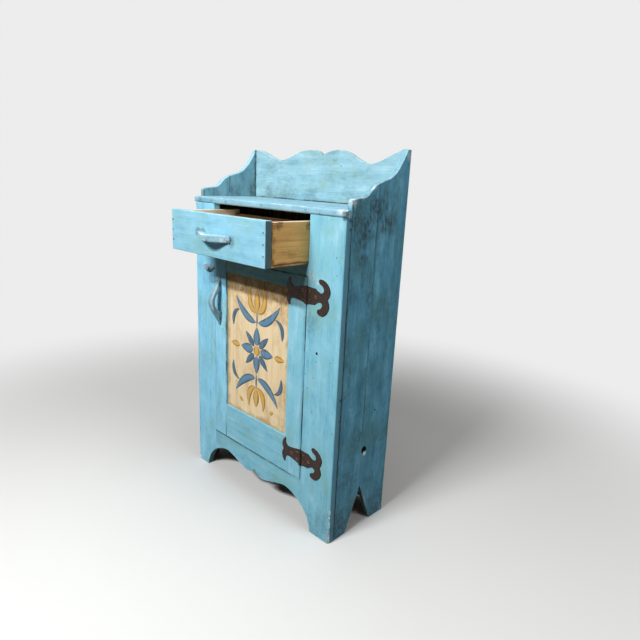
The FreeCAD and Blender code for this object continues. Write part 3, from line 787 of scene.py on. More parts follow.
def closed_mesh(name: str, points: Points, faces: list[Sequence[int]],
                stored: dict[str, Points]) -> bpy.types.Object:
    """Object of a closed surface, turned so that its faces point outwards.

    Args:
        name: the piece's name.
        points: its points, one row each.
        faces: the numbers of each face's points.
        stored: values to keep at each point, by name.

    Returns:
        The object, at the origin.
    """
    corners = np.array([face[:3] for face in faces])
    first, second, third = (points[corners[:, i]] for i in range(3))
    volume = np.einsum("ij,ij->i", first, np.cross(second, third)).sum()
    mesh = bpy.data.meshes.new(name)
    mesh.from_pydata(points.tolist(), [], faces if volume > 0 else [face[::-1] for face in faces])
    mesh.polygons.foreach_set("use_smooth", np.ones(len(faces), bool))
    mesh.set_sharp_from_angle(angle=math.radians(50))
    for key, values in stored.items():
        kept = mesh.attributes.new(key, "FLOAT", "POINT")
        kept.data.foreach_set("value", values.ravel().astype(np.float32))
    made = bpy.data.objects.new(name, mesh)
    bpy.context.scene.collection.objects.link(made)
    return made


def loop_faces(stations: int, around: int, copies: int = 1) -> list[list[int]]:
    """Faces of tubes whose loops run station by station, with a cap at each end.

    Args:
        stations: loops along each tube.
        around: points of a loop.
        copies: how many such tubes follow each other.

    Returns:
        Four-sided walls and many-sided caps.
    """
    grid = np.arange(copies * stations * around).reshape(copies, stations, around)
    turned = np.roll(grid, -1, axis=2)
    walls = np.stack([grid[:, :-1], turned[:, :-1], turned[:, 1:], grid[:, 1:]], -1).reshape(-1, 4)
    caps = grid[:, 0, ::-1].tolist() + grid[:, -1].tolist()
    return walls.tolist() + caps


class Wound(Enum):
    """What a broken place lays bare: the value that it stores, and how much of it."""

    CHALK = ("bare", 0.45)
    WOOD = ("bare", 1.0)
    HOLE = ("pit", 1.0)


@dataclass
class Chip:
    """A broken place: a ball that scoops a board's surface away.

    Attributes:
        centre: middle of the ball, in metres.
        radius: its radius.
        wound: what it lays bare.
    """

    centre: tuple[float, float, float]
    radius: float
    wound: Wound = Wound.WOOD

    def scoop(self, points: Points) -> tuple[Points, Points]:
        """Push the points inside the ball out to its skin, away from its centre.

        Args:
            points: the board's points.

        Returns:
            The moved points, and how deep in the ball each one was, from 0 to 1.
        """
        away = points - np.array(self.centre)
        gap = np.linalg.norm(away, axis=-1, keepdims=True)
        moved = np.array(self.centre) + away * (self.radius / np.maximum(gap, 1e-6))
        depth = np.clip(1.6 * (1 - gap[..., 0] / (1.3 * self.radius)), 0, 1)
        return np.where(gap < self.radius, moved, points), depth


def rounded(gap: Points, radius: float) -> Points:
    """How far a face lies back where a quarter circle rounds it off, at a distance from its end."""
    share = np.clip(1 - gap / radius, 0, 1)
    return radius * (1 - np.sqrt(1 - share ** 2))


@dataclass
class Board:
    """One board, shaped after the CAD node that it stands for.

    Attributes:
        node: the node's name.
        lay: how the board lies.
        grain: direction of its grain.
        seams: rims that darken against another board, with dirt and painted shade.
        back_seams: rims that do so along their far arris only.
        tight: rims that lie so close to another board that they carry no mark.
        coat: which faces are painted, or whitened on bare pine; on the drawer's inner faces the whitening
            partly paints light.
        soft: radius of the arrises of its low and high rim.
        low_soft: radius of the arrises of its low rim, where they differ.
        ends: radius of the arrises of its left and right end.
        near_ends: radius of the near arrises of these ends, where they differ.
        curves: how far up and down from its box's rims its sawn outline reaches, or nothing for a plain box.
        profile: stations across the board with the low and high rim at each, where the outline isn't read.
        tuck: how far some of its rims are hidden by other boards, on the near and on the far face.
        tucked: those rims.
        inner_from: height above which the unpainted face is painted as well.
        chips: its broken places.
        step: usual size of a face of the mesh.
        seed: the board's own number, from its name.
    """

    node: str
    lay: Lay
    grain: Axis
    seams: Rim = Rim.NONE
    back_seams: Rim = Rim.NONE
    tight: Rim = Rim.NONE
    coat: Coat = Coat.BARE
    soft: float = 1.4 * MM
    low_soft: float | None = None
    ends: tuple[float, float] = (1.2 * MM, 1.2 * MM)
    near_ends: tuple[float, float] | None = None
    curves: tuple[float, float] | None = None
    profile: tuple[Points, Points, Points] | None = None
    tuck: tuple[float, float] = (0.0, 0.0)
    tucked: Rim = Rim.ROUND
    inner_from: float = 9 * FAR_AWAY
    chips: tuple[Chip, ...] = ()
    step: float = 6 * MM
    seed: int = field(init=False)

    # Angles of the points on a rounded end and on a rim's corner, shares of the height close to a rim, the
    # least flat left on an end, how deep an end's mark goes, how deep worn rims and planed faces wave, and
    # how long those waves are
    TURN = np.radians([0.0, 25.0, 50.0, 72.0, 90.0])
    CORNER = np.radians([22.5, 45.0, 67.5])
    RIMS = np.array([0.0, 0.004, 0.012, 0.026])
    FLAT = 0.4 * MM
    TIP = 0.5 * MM
    WEAR = 0.4 * MM
    PLANED = 0.3 * MM
    WAVES = (90 * MM, 110 * MM)

    def __post_init__(self) -> None:
        """Give the board its own number, from its name."""
        self.seed = sum(ord(letter) * (place + 1) for place, letter in enumerate(self.node)) % 997

    def box(self) -> tuple[Points, Points]:
        """Corners of the node's box.

        Returns:
            Its low and its high corner, each across, up and through the board.
        """
        low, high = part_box(self.node)
        order = list(self.lay.value)
        return np.array(low)[order], np.array(high)[order]

    def middle(self) -> list[float]:
        """Middle of the node's box."""
        low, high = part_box(self.node)
        return list((low + high) / 2)

    def outline(self) -> tuple[Points, Points, Points]:
        """Read the board's sawn outline from the node's wider broad face.

        Returns:
            Stations across the board, and the low and the high rim at each.
        """
        low, high = self.box()
        if self.profile:
            return self.profile
        if not self.curves:
            return np.array([low[0], high[0]]), np.full(2, low[1]), np.full(2, high[1])
        corners = node_points(self.node)[:, list(self.lay.value)]
        broad = [corners[np.isclose(corners[:, 2], level, atol=0.01 * MM)] for level in (low[2], high[2])]
        face = max(broad, key=lambda points: np.ptp(points[:, 0]))
        chains = []
        for rim in (face[:, 1] <= low[1] + self.curves[0], face[:, 1] >= high[1] - self.curves[1]):
            chain = face[rim]
            stations, first = np.unique(chain[:, 0].round(6), return_index=True)
            chains.append((stations, chain[first, 1]))
        stations = np.union1d(chains[0][0], chains[1][0])
        return stations, np.interp(stations, *chains[0]), np.interp(stations, *chains[1])

    def section(self, climb: Points) -> dict[str, Points]:
        """Loop of a rounded rectangle, as shares of its height, its thickness and its two corner radii.

        A point lies at low + up * height + low_up * low radius + high_up * high radius, and likewise through
        the board. The loop climbs the near face, crosses the high rim, comes down the far face and crosses
        the low rim.

        Args:
            climb: shares of the height at which each broad face has points.

        Returns:
            The shares, by name.
        """
        sin, cos, one, nil = np.sin(self.CORNER), np.cos(self.CORNER), np.ones(3), np.zeros(3)
        cross = np.array([0.0, 0.5, 1.0])
        flat, back = np.zeros_like(climb), climb[::-1]
        parts = {
            "up": (climb, one, one, one, back, nil, nil, nil),
            "low_up": (1 - climb, nil, nil, nil, 1 - back, 1 - sin, nil, 1 - cos),
            "high_up": (-climb, sin - 1, nil, cos - 1, -back, nil, nil, nil),
            "through": (flat, nil, cross, one, flat + 1, one, 1 - cross, nil),
            "low_through": (flat, nil, nil, nil, flat, cos - 1, 2 * cross - 1, 1 - sin),
            "high_through": (flat, 1 - cos, 1 - 2 * cross, sin - 1, flat, nil, nil, nil),
            "near": (flat + 1, nil, nil, nil, flat, nil, nil, nil),
            "far": (flat, nil, nil, nil, flat + 1, nil, nil, nil),
        }
        return {key: np.concatenate(value) for key, value in parts.items()}

    def grid(self, low: Points, high: Points,
             outline: tuple[Points, Points, Points]) -> tuple[Points, Points]:
        """Stations across the board, closer at its ends and chips, and shares of the height likewise.

        Args:
            low: low corner of its box.
            high: high corner of its box.
            outline: its outline.

        Returns:
            The stations, each cap's two inner rings first and last, and the shares.
        """
        stations, floor, roof = outline
        near = self.near_ends or self.ends
        rise = 1 - np.cos(self.TURN)
        left, right = (np.union1d(self.ends[i] * rise, near[i] * rise) for i in (0, 1))
        columns, rows = (round((high[i] - low[i]) / self.step) for i in (0, 1))
        across = [np.linspace(low[0], high[0], max(3, columns)), stations]
        shares = [self.RIMS, np.linspace(0.045, 0.955, max(4, rows)), 1 - self.RIMS]
        for chip in self.chips:
            u, v = np.array(chip.centre)[list(self.lay.value[:2])]
            fine = np.linspace(-1.3, 1.3, 17) * chip.radius
            across.append(u + fine)
            foot, head = np.interp(u, stations, floor), np.interp(u, stations, roof)
            shares.append(np.clip((v + fine - foot) / (head - foot), 0, 1))
        inner = np.concatenate(across)
        first, last = low[0] + left[-1] + self.FLAT, high[0] - right[-1] - self.FLAT
        inner = thinned(inner[(inner > first) & (inner < last)], 0.7 * MM)
        caps = np.full(2, low[0]), np.full(2, high[0])
        u = np.concatenate([caps[0], low[0] + left, inner, high[0] - right[::-1], caps[1]])
        return u, thinned(np.concatenate(shares), 0.6 * MM / (high[1] - low[1]))

    def build(self) -> bpy.types.Object:
        """Carry the section across the board, round it off at both ends, and cap it.

        Returns:
            The board's object, with its stored distances.
        """
        low, high = self.box()
        stations, floor, roof = outline = self.outline()
        low[0], high[0] = stations[0], stations[-1]
        u, climb = self.grid(low, high, outline)
        near = self.near_ends or self.ends
        cap = np.zeros_like(u)
        left, right = (high[2] - low[2] - near[i] - self.ends[i] - self.FLAT for i in (0, 1))
        cap[:2] = left * np.array([0.5, 0.25])
        cap[-2:] = right * np.array([0.25, 0.5])
        from_left, from_right = u - low[0], high[0] - u
        far_in = rounded(from_left, self.ends[0]) + rounded(from_right, self.ends[1]) + cap
        near_in = rounded(from_left, near[0]) + rounded(from_right, near[1]) + cap
        shrink = np.clip(1 - far_in / self.soft, 0.05, 1)[:, None]
        low_soft, high_soft = (self.low_soft or self.soft) * shrink, self.soft * shrink
        worn = self.WEAR * ripple(u, u * 0, self.seed, self.WAVES[0])
        marked = self.seams | self.tight
        bottom = np.interp(u, stations, floor) + far_in + worn * (Rim.LOW not in marked)
        top = np.interp(u, stations, roof) - far_in - worn[::-1] * (Rim.HIGH not in marked)
        part = self.section(climb)
        up = bottom[:, None] + part["up"] * (top - bottom)[:, None]
        up = up + part["low_up"] * low_soft + part["high_up"] * high_soft
        across = np.broadcast_to(u[:, None], up.shape)
        planed = self.PLANED * ripple(across, up, self.seed + 1, self.WAVES[1])
        front = low[2] + near_in[:, None] + planed
        rear = high[2] - far_in[:, None] - planed
        through = front + part["through"] * (rear - front)
        through = through + part["low_through"] * low_soft + part["high_through"] * high_soft
        points = np.empty((*up.shape, 3))
        points[..., list(self.lay.value)] = np.stack([across, up, through], -1)
        stored = self.distances(low, high, (across, up, through), (bottom - far_in, top + far_in))
        tips = {Rim.LEFT: from_left < self.TIP, Rim.RIGHT: from_right < self.TIP}
        ends = np.broadcast_to((tips[Rim.LEFT] | tips[Rim.RIGHT])[:, None], up.shape)
        sawn = sum(tip * (rim not in marked) for rim, tip in tips.items())
        stored |= {"ends": np.broadcast_to(sawn[:, None], up.shape).astype(float),
                   "coat": np.maximum(self.coated(part, points), ends * self.painted())}
        edge = np.broadcast_to(1 - part["near"] - part["far"], up.shape)
        stored |= {"bare": np.zeros_like(up), "pit": np.zeros_like(up), "edge": edge}
        for chip in self.chips:
            points, depth = chip.scoop(points)
            kind, share = chip.wound.value
            stored[kind] = np.maximum(stored[kind], share * depth)
        points = np.clip(points, *(np.array(corner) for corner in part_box(self.node)))
        made = closed_mesh(f"{self.node}_board", points.reshape(-1, 3), loop_faces(*up.shape), stored)
        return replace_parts(made, self.node)

    def distances(self, low: Points, high: Points, place: tuple[Points, Points, Points],
                  rims: tuple[Points, Points]) -> dict[str, Points]:
        """How far each point lies from the free arrises and from the seams.

        A point's distance from an arris is the larger of its distance from the rim and from the arris's face.

        Args:
            low: low corner of the board's box.
            high: high corner of it.
            place: each point's place across, up and through the board.
            rims: the low and the high rim at each station.

        Returns:
            Both distances, by name.
        """
        across, up, through = place
        even = np.linspace(low[0], high[0], len(rims[0]))
        slant = [1 / np.sqrt(1 + np.gradient(rim, even) ** 2) for rim in rims]
        gaps = {Rim.LEFT: across - low[0], Rim.RIGHT: high[0] - across,
                Rim.LOW: (up - rims[0][:, None]) * slant[0][:, None],
                Rim.HIGH: (rims[1][:, None] - up) * slant[1][:, None]}
        stored = {"arris": np.full(up.shape, FAR_AWAY), "seam": np.full(up.shape, FAR_AWAY)}
        faces = ((through - low[2], self.seams, self.tuck[0]),
                 (high[2] - through, self.seams | self.back_seams, self.tuck[1]))
        for rim, gap in gaps.items():
            if rim in self.tight:
                continue
            for depth, seams, tuck in faces:
                key = "seam" if rim in seams else "arris"
                shown = gap - tuck if rim in self.tucked else gap
                stored[key] = np.minimum(stored[key], np.maximum(shown, depth))
        return stored

    def painted(self) -> bool:
        """Whether the board has any painted face."""
        return self.coat is not Coat.BARE

    def coated(self, part: dict[str, Points], points: Points) -> Points:
        """Where the board is painted.

        Args:
            part: shares of its section.
            points: its points.

        Returns:
            0 or 1 at each point.
        """
        if not self.painted():
            return np.zeros(points.shape[:2])
        faces = {Coat.NEAR: part["far"], Coat.FAR: part["near"], Coat.BOTH: 0 * part["far"]}
        return np.maximum(1 - faces[self.coat], points[..., 2] > self.inner_from)


@dataclass
class Bow:
    """Carved bow handle, or a carved button without a finger gap, that stands for a CAD node.

    Attributes:
        node: the node's name.
        along: axis that it runs along, x or z.
        gap_length: length of its finger gap at the face.
        gap_depth: depth of that gap at the middle, or nothing.
        tip: height of its two ends.
        tip_width: their width.
        square: how square its section is, from 1 for an oval towards 0 for a box.
        stations: loops along it.
        around: points of a loop.
    """

    node: str
    along: Axis
    gap_length: float
    gap_depth: float
    tip: float = 4 * MM
    tip_width: float = 9 * MM
    square: float = 0.5
    stations: int = 97
    around: int = 32

    # Share of the length over which an end closes in
    CLOSING = 0.012

    def build(self) -> bpy.types.Object:
        """Sweep a squarish oval along the bow.

        The outer height falls from the reach to the tips as a power of a cosine, the underside is the arc of
        the finger gap, and the width is widest at the middle. The last stations close in along a root curve.

        Returns:
            The bow's object.
        """
        low, high = (np.array(corner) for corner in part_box(self.node))
        main, side = (0, 2) if self.along is Axis.X else (2, 0)
        half, wide, reach = (high - low)[main] / 2, (high - low)[side] / 2, (high - low)[1]
        share = np.sin(np.linspace(-np.pi / 2, np.pi / 2, self.stations))
        place = half * share
        outer = self.tip + (reach - self.tip) * np.cos(share * np.pi / 2) ** 1.6
        under = np.zeros_like(place)
        if self.gap_depth:
            ball = (self.gap_length ** 2 / 4 + self.gap_depth ** 2) / (2 * self.gap_depth)
            arc = np.sqrt(np.maximum(ball ** 2 - place ** 2, 0))
            under = np.maximum(arc - (ball - self.gap_depth), 0)
        width = self.tip_width / 2 + (wide - self.tip_width / 2) * (1 - share ** 2)
        closing = np.sqrt(np.clip((1 - np.abs(share)) / self.CLOSING, 0.02, 1))
        angle = np.linspace(0, 2 * np.pi, self.around, endpoint=False)
        lift = np.sign(np.cos(angle)) * np.abs(np.cos(angle)) ** self.square
        spread = np.sign(np.sin(angle)) * np.abs(np.sin(angle)) ** self.square
        thick = (outer - under) / 2
        points = np.empty((len(share), len(angle), 3))
        points[..., main] = (low + high)[main] / 2 + place[:, None]
        points[..., side] = (low + high)[side] / 2 + np.outer(width * closing, spread)
        points[..., 1] = high[1] - (under + thick)[:, None] - np.outer(thick * closing, lift)
        corner = np.minimum(np.abs(lift), np.abs(spread))
        blank = np.zeros(points.shape[:2])
        # The stored seam is a scaled distance from the face behind: the paint darkens near that face with
        # dirt and painted contact shade.
        stored = {"arris": blank + (1 - corner) * 9 * MM, "seam": blank + 1.2 * (high[1] - points[..., 1]),
                  "coat": blank + 1, "bare": blank, "pit": blank, "ends": blank, "edge": blank}
        faces = loop_faces(self.stations, self.around)
        made = closed_mesh(f"{self.node}_carved", points.reshape(-1, 3), faces, stored)
        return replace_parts(made, self.node)


def domes(name: str, centres: Points, radius: float, height: float, facing: float = -1.0) -> bpy.types.Object:
    """Round nail heads: one quarter circle turned round the front-to-back axis, at every centre.

    Args:
        name: the piece's name.
        centres: middle of each head's foot.
        radius: radius of a head.
        height: how far it stands out.
        facing: -1 for heads that look to the front, 1 for the back.

    Returns:
        One object of all the heads.
    """
    sunk = 0.6 * MM
    climb = np.radians([0.0, 0.0, 30.0, 58.0, 80.0])
    turn = np.linspace(0, 2 * np.pi, 14, endpoint=False)
    out = radius * np.cos(climb)
    rise = height * np.sin(climb)
    rise[0] = -sunk
    x, z = np.outer(out, np.cos(turn)), np.outer(out, np.sin(turn))
    y = facing * np.outer(rise, np.ones_like(turn))
    points = centres[:, None, None, :] + np.stack([x, y, z], -1)
    return closed_mesh(name, points.reshape(-1, 3), loop_faces(len(climb), len(turn), len(centres)), {})


@dataclass(frozen=True)
class Stroke:
    """One leaf or petal of the panel's design, in millimetres from the panel's middle.

    Attributes:
        start: where its spine begins.
        bend: the point that its spine leans towards.
        end: where its spine ends.
        wide: half of its greatest width.
        belly: where along the spine it is widest, below 1 towards its start.
    """

    start: tuple[float, float]
    bend: tuple[float, float]
    end: tuple[float, float]
    wide: float
    belly: float = 1.0

    def turned(self, flip: tuple[int, int]) -> "Stroke":
        """The stroke mirrored across the panel's middle lines."""
        start, bend, end = ((x * flip[0], z * flip[1]) for x, z in (self.start, self.bend, self.end))
        return Stroke(start, bend, end, self.wide, self.belly)


def relief(name: str, strokes: Sequence[Stroke], middle: Sequence[float], lift: float) -> bpy.types.Object:
    """Low carved leaves: a flat lens carried along each spine.

    The spine is a quadratic curve from start to end, the half width a power of a sine along it, and the
    section an oval whose lower half is sunk in the panel. All strokes are worked out at once.

    Args:
        name: the piece's name.
        strokes: the leaves and petals.
        middle: middle of the panel's front face.
        lift: how far the thickest leaf stands out.

    Returns:
        One object of all the strokes.
    """
    knots = np.array([(stroke.start, stroke.bend, stroke.end) for stroke in strokes]) * MM
    wide = np.array([stroke.wide for stroke in strokes])[:, None] * MM
    belly = np.array([stroke.belly for stroke in strokes])[:, None]
    t = (1 - np.cos(np.linspace(0.0, np.pi, 33))) / 2
    weight = np.stack([(1 - t) ** 2, 2 * t * (1 - t), t ** 2], -1)
    slope = np.stack([2 * t - 2, 2 - 4 * t, 2 * t], -1)
    spine = np.einsum("tk,nkd->ntd", weight, knots)
    heading = np.einsum("tk,nkd->ntd", slope, knots)
    heading /= np.linalg.norm(heading, axis=-1, keepdims=True)
    girth = np.maximum(np.sin(np.pi * t[None, :] ** belly), 0.0) ** 0.75 + 0.012
    angle = np.linspace(0, 2 * np.pi, 16, endpoint=False)
    aside = (wide * girth)[..., None] * np.cos(angle)
    rise = lift * np.sqrt(girth)[..., None] * np.sin(angle)
    x = middle[0] + spine[..., 0, None] - heading[..., 1, None] * aside
    z = middle[2] + spine[..., 1, None] + heading[..., 0, None] * aside
    points = np.stack([x, middle[1] - rise, z], -1)
    rim = np.maximum(np.broadcast_to(np.abs(np.cos(angle)), x.shape), (1 - girth)[..., None] ** 3)
    faces = loop_faces(len(t), len(angle), len(strokes))
    return closed_mesh(name, points.reshape(-1, 3), faces, {"rim": rim})


# The cupboard's finishes

# Planes that their marks lie on, in millimetres
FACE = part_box("right_face_stile")[0].y / MM
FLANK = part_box("right_side_front_plank")[1].x / MM
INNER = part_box("left_side_front_plank")[1].x / MM
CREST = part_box("gallery_crest")[0].y / MM
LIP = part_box("top_board")[0].y / MM

PAINT = WornPaint()
STILE_SPECKS = ((305, 836, 3.4), (309, 791, 3.6), (284, 583, 3.0), (210, 495, 3.2), (240, 492, 2.8),
                (219, 455, 3.2), (240, 389, 2.8), (218, 536, 2.8))
# The right stile's sawn edges, its side face among them, take a darker colour: painted shade on faces turned
# away from the lamps.
STILE_PAINT = WornPaint(
    edge="4F8AA3", seam=2.8 * MM, scrapes=blots((222, FACE, 775, 26, 0.75), (246, FACE, 764, 15, 0.7)),
    blots=blots(*((x, FACE, z, size, 0.95) for x, z, size in STILE_SPECKS),
                (326, FACE, 939, 14, 1.0), (FLANK, -14, 930, 11, 1.0), (FLANK, -13, 908, 8, 1.0),
                (FLANK, -13, 448, 9, 0.95), (FLANK, -13, 385, 8, 0.95), (300, FACE, 40, 80, 0.36),
                (225, FACE, 650, 46, 0.36), (215, FACE, 770, 40, 0.3)))
# The wide seam line of the latch stile also paints the shadow along the panel's recessed edge.
LATCH_PAINT = WornPaint(light="AEE8FE", body="96DAF6", deep="7AC1E0", seam=3.4 * MM)
LIP_SPECKS = ((-300, 16, 0.5), (-235, 10, 0.4), (-160, 9, 0.4), (10, 9, 0.35), (190, 10, 0.35),
              (329, 15, 0.8))
TOP_PAINT = WornPaint(
    light="A6D2E3", body="90BED1", deep="75A6BA", glaze="82A8AE", chalk="E6F1F3", smudge=0.34, rub=2.4 * MM,
    blots=blots(*((x, LIP, 946, reach, depth) for x, reach, depth in LIP_SPECKS)),
    scrapes=blots((318, -40, 957, 20, 1.0)))
CREST_PAINT = WornPaint(
    light="A9D0DC", body="95C0CD", deep="79A8B6", glaze="8AA896", grime_and_shade="37382A", smudge=0.3, seam=5 * MM,
    blots=blots((-230, CREST, 970, 50, 0.4), (-140, CREST, 964, 60, 0.4), (-40, CREST, 964, 50, 0.35),
                (130, CREST, 970, 60, 0.3), (INNER, CREST, None, 6, 0.95)))
# The side's sawn edges take a lighter colour than its faces: partly their own paint, partly a painted
# highlight on the upward scalloped edges.
SIDE_PAINT = WornPaint(
    light="79BFDC", body="5B9FBB", deep="3D7A95", glaze="4A7876", grime_and_shade="222E28", chalk="DCEBEE", smudge=0.55,
    rub=2.2 * MM, edge="86B8C8", seam=6 * MM,
    blots=blots((FLANK, 60, 925, 130, 0.5), (FLANK, -10, 925, 13, 1.0), (FLANK, 88, 955, 70, 0.9),
                (FLANK, 138, 918, 55, 0.85), (FLANK, 30, 905, 72, 0.85), (FLANK, 45, 826, 34, 0.75),
                (FLANK, 0, 740, 45, 0.5), (FLANK, 30, 175, 70, 0.5), (FLANK, 100, 480, 90, 0.3),
                (FLANK, 180, 700, 80, 0.3), (FLANK, 0, 20, 120, 0.75), (FLANK, 180, 10, 110, 0.7)),
    scrapes=blots((FLANK, 66, 1016, 16, 0.9), (325, -9, 978, 22, 1.0), (326, 30, 990, 14, 0.7),
                  (326, 215, 1100, 22, 0.5)))
# The left side's faces are greyer and darker than its sawn edges, with darker patches just above the top:
# painted shade on the gallery's inner face, which turns away from the lamps, and dirt.
LEFT_PAINT = WornPaint(
    light="93BFCB", body="7AA8B6", deep="5D838F", glaze="75938F", grime_and_shade="2E2A20", smudge=0.36, edge="A3D6E6",
    blots=blots((INNER, 198, 985, 42, 0.6), (INNER, CREST, None, 8, 0.95), (INNER, 110, 965, 50, 0.5),
                (INNER, 40, 962, 36, 0.45)))
DRAWER_PAINT = WornPaint(light="A6D8EC", body="90C9E0", deep="77B4CD", end_dirt=0.9, smudge=0.1)
PULL_PAINT = WornPaint(light="BCD8E2", body="96BFCD", deep="6D99A8", grime_and_shade="2B332F", chalk="F4F9F9",
                       smudge=0.7, rub=2.2 * MM)
HANDLE_PAINT = WornPaint(light="B2D4E0", body="86B2C4", deep="5A8596", glaze="6F9098", grime_and_shade="29322F",
                         chalk="E6EFF1", smudge=0.75, rub=2.4 * MM)
BUTTON_PAINT = WornPaint(light="C4DCEC", body="A4C6DA", deep="7FA5BC", glaze="8CAABA", chalk="E2ECF1",
                         smudge=0.3, rub=2.2 * MM)
NAIL_PAINT = WornPaint(light="7FA9B5", body="66909C", deep="4B737F")
# The drawer's whitened inner faces are pale aged wood and also paint the light falling into the drawer; its
# dark band along the bottom edge is painted shade with dirt.
DRAWER_PINE = Pine(early="F2BC70", late="C3843C", stain_and_shade="64391A", contrast=0.16, soiling=0.55, dusk=0.9,
                   halo=5 * MM)
SHELF_PINE = Pine(early="C7A478", late="92683E", stain_and_shade="553B24", soiling=0.7)
BACK_PINE = Pine(early="A98D6B", late="75583C", stain_and_shade="453526", soiling=0.8)
# The panel's darkening along the frame's edges paints the shade in its recess, with dirt.
PANEL_PINE = Pine(early="F6E2BC", late="E2BF86", stain_and_shade="A87A3C", ring_gap=15 * MM, contrast=0.2, soiling=0.6,
                  dusk=0.7, halo=12 * MM, slot="panel_pine")
IRON = ForgedIron()
# Bright brassy spots on the nail heads: rubbed metal, and painted glints.
NAIL_IRON = ForgedIron(skin="4A3826", rust="8C6B42", bright="D9BC7C", glint=0.7)
BLUE_STROKE = StencilPaint(body="5B87A6", edge="2F4A5C")
DEEP_STROKE = StencilPaint(body="456C88", edge="273F50")
OCHRE_STROKE = StencilPaint(body="D9AC52", edge="8F6A2C")


# Sub-assemblies


@dataclass
class SubAssembly:
    """Pieces that ride on one body.

    Attributes:
        body: the body's name.
    """

    body: str

    def keep(self, piece: bpy.types.Object, material: bpy.types.Material, slot: str) -> None:
        """Dress a new piece and let it ride on the body.

        Args:
            piece: the new piece.
            material: its finish.
            slot: not used.
        """
        piece.data.materials.clear()
        piece.data.materials.append(material)
        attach(piece, self.body)
        LOG.info("%s rides on %s", piece.name, self.body)

    def board(self, board: Board, finish: WornPaint | Pine) -> None:
        """Build and dress one board.

        Args:
            board: the board.
            finish: its finish.
        """
        self.keep(board.build(), finish.material(f"{board.node}_finish", board), finish.slot)

    def carved(self, bow: Bow, finish: WornPaint) -> None:
        """Build and dress one carved piece, with its grain along it.

        Args:
            bow: the carved piece.
            finish: its finish.
        """
        grain = Board(bow.node, Lay.FACE, bow.along)
        self.keep(bow.build(), finish.material(f"{bow.node}_finish", grain), finish.slot)

    def dress(self, node: str, material: bpy.types.Material) -> None:
        """Give a CAD node its finish.

        Args:
            node: the node's name.
            material: its finish.
        """
        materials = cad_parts[node].data.materials
        materials.clear()
        materials.append(material)
        LOG.info("%s dressed", node)


@dataclass
class Case(SubAssembly):
    """Sides, back, shelves and the strips that carry them.

    Attributes:
        side_curves: how far the foot's cut and the gallery's scallop reach up and down a side.
        edge: radius of a side's sawn edges.
        joint: radius of the arrises where two planks meet.
        nail_rows: heights of the nails through the back planks.
        nail_inset: how far these stand in from a plank's edges.
        nail_head: radius and height of their heads.
    """

    body: str = "case"
    side_curves: tuple[float, float] = (150 * MM, 160 * MM)
    edge: float = 2.4 * MM
    joint: float = 0.5 * MM
    nail_rows: tuple[float, ...] = (146 * MM, 352 * MM, 558 * MM, 925 * MM)
    nail_inset: float = 25 * MM
    nail_head: tuple[float, float] = (3.5 * MM, 0.6 * MM)

    def build(self) -> None:
        """Build every board of the case."""
        strips = ("floor_cleat", "lower_shelf_cleat", "upper_shelf_cleat", "drawer_runner", "drawer_guide")
        for side, coat in (("left", Coat.NEAR), ("right", Coat.FAR)):
            self.sides(side, coat)
            for strip in strips:
                self.board(Board(f"{side}_{strip}", Lay.CHEEK, Axis.Y, step=14 * MM), SHELF_PINE)
        for shelf in ("cupboard_floor", "lower_shelf", "upper_shelf"):
            self.board(Board(shelf, Lay.FLAT, Axis.X, Rim.ENDS | Rim.HIGH, step=12 * MM), SHELF_PINE)
        self.board(Board("door_stop", Lay.FACE, Axis.Z, step=12 * MM), SHELF_PINE)
        self.back()

    def sides(self, side: str, coat: Coat) -> None:
        """Build the two planks of one side, with the knot hole and the chip of the right one.

        Args:
            side: left or right.
            coat: which face is painted from top to bottom.
        """
        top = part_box("top_board")[1].z - 12 * MM
        chips = {"front": (), "rear": ()}
        if side == "right":
            chips["front"] = (Chip((329 * MM, 66 * MM, 1017 * MM), 8 * MM, Wound.CHALK),
                              Chip((331 * MM, 64 * MM, 1011 * MM), 3.4 * MM, Wound.HOLE))
            chips["rear"] = (Chip((333 * MM, 105 * MM, 256 * MM), 12 * MM, Wound.HOLE),
                             Chip((333 * MM, 110 * MM, 244 * MM), 7.5 * MM, Wound.CHALK),
                             Chip((332 * MM, 145 * MM, 373 * MM), 4 * MM, Wound.HOLE))
        paint = LEFT_PAINT if side == "left" else SIDE_PAINT
        planks = {"front": (paint, Rim.RIGHT, (1 * MM, self.joint)),
                  "rear": (replace(paint, seam=1.6 * MM), Rim.NONE, (self.joint, self.edge))}
        for plank, (finish, tight, ends) in planks.items():
            board = Board(f"{side}_side_{plank}_plank", Lay.CHEEK, Axis.Z, Rim.LEFT, tight=tight, coat=coat,
                          soft=self.edge, ends=ends, curves=self.side_curves, inner_from=top,
                          chips=chips[plank])
            self.board(board, finish)

    def back(self) -> None:
        """Build the back planks and the nails through them."""
        centres = []
        radius, rise = self.nail_head
        for number in range(1, 5):
            node = f"back_plank_{number}"
            self.board(Board(node, Lay.FACE, Axis.Z, Rim.ENDS | Rim.HIGH, step=10 * MM), BACK_PINE)
            low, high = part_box(node)
            columns = (low.x + self.nail_inset, high.x - self.nail_inset)
            centres += [(x, high.y - rise, z) for x in columns for z in self.nail_rows]
        heads = domes("back_nail_heads", np.array(centres), radius, rise, 1.0)
        self.keep(heads, IRON.material("back_nail_finish"), IRON.slot)


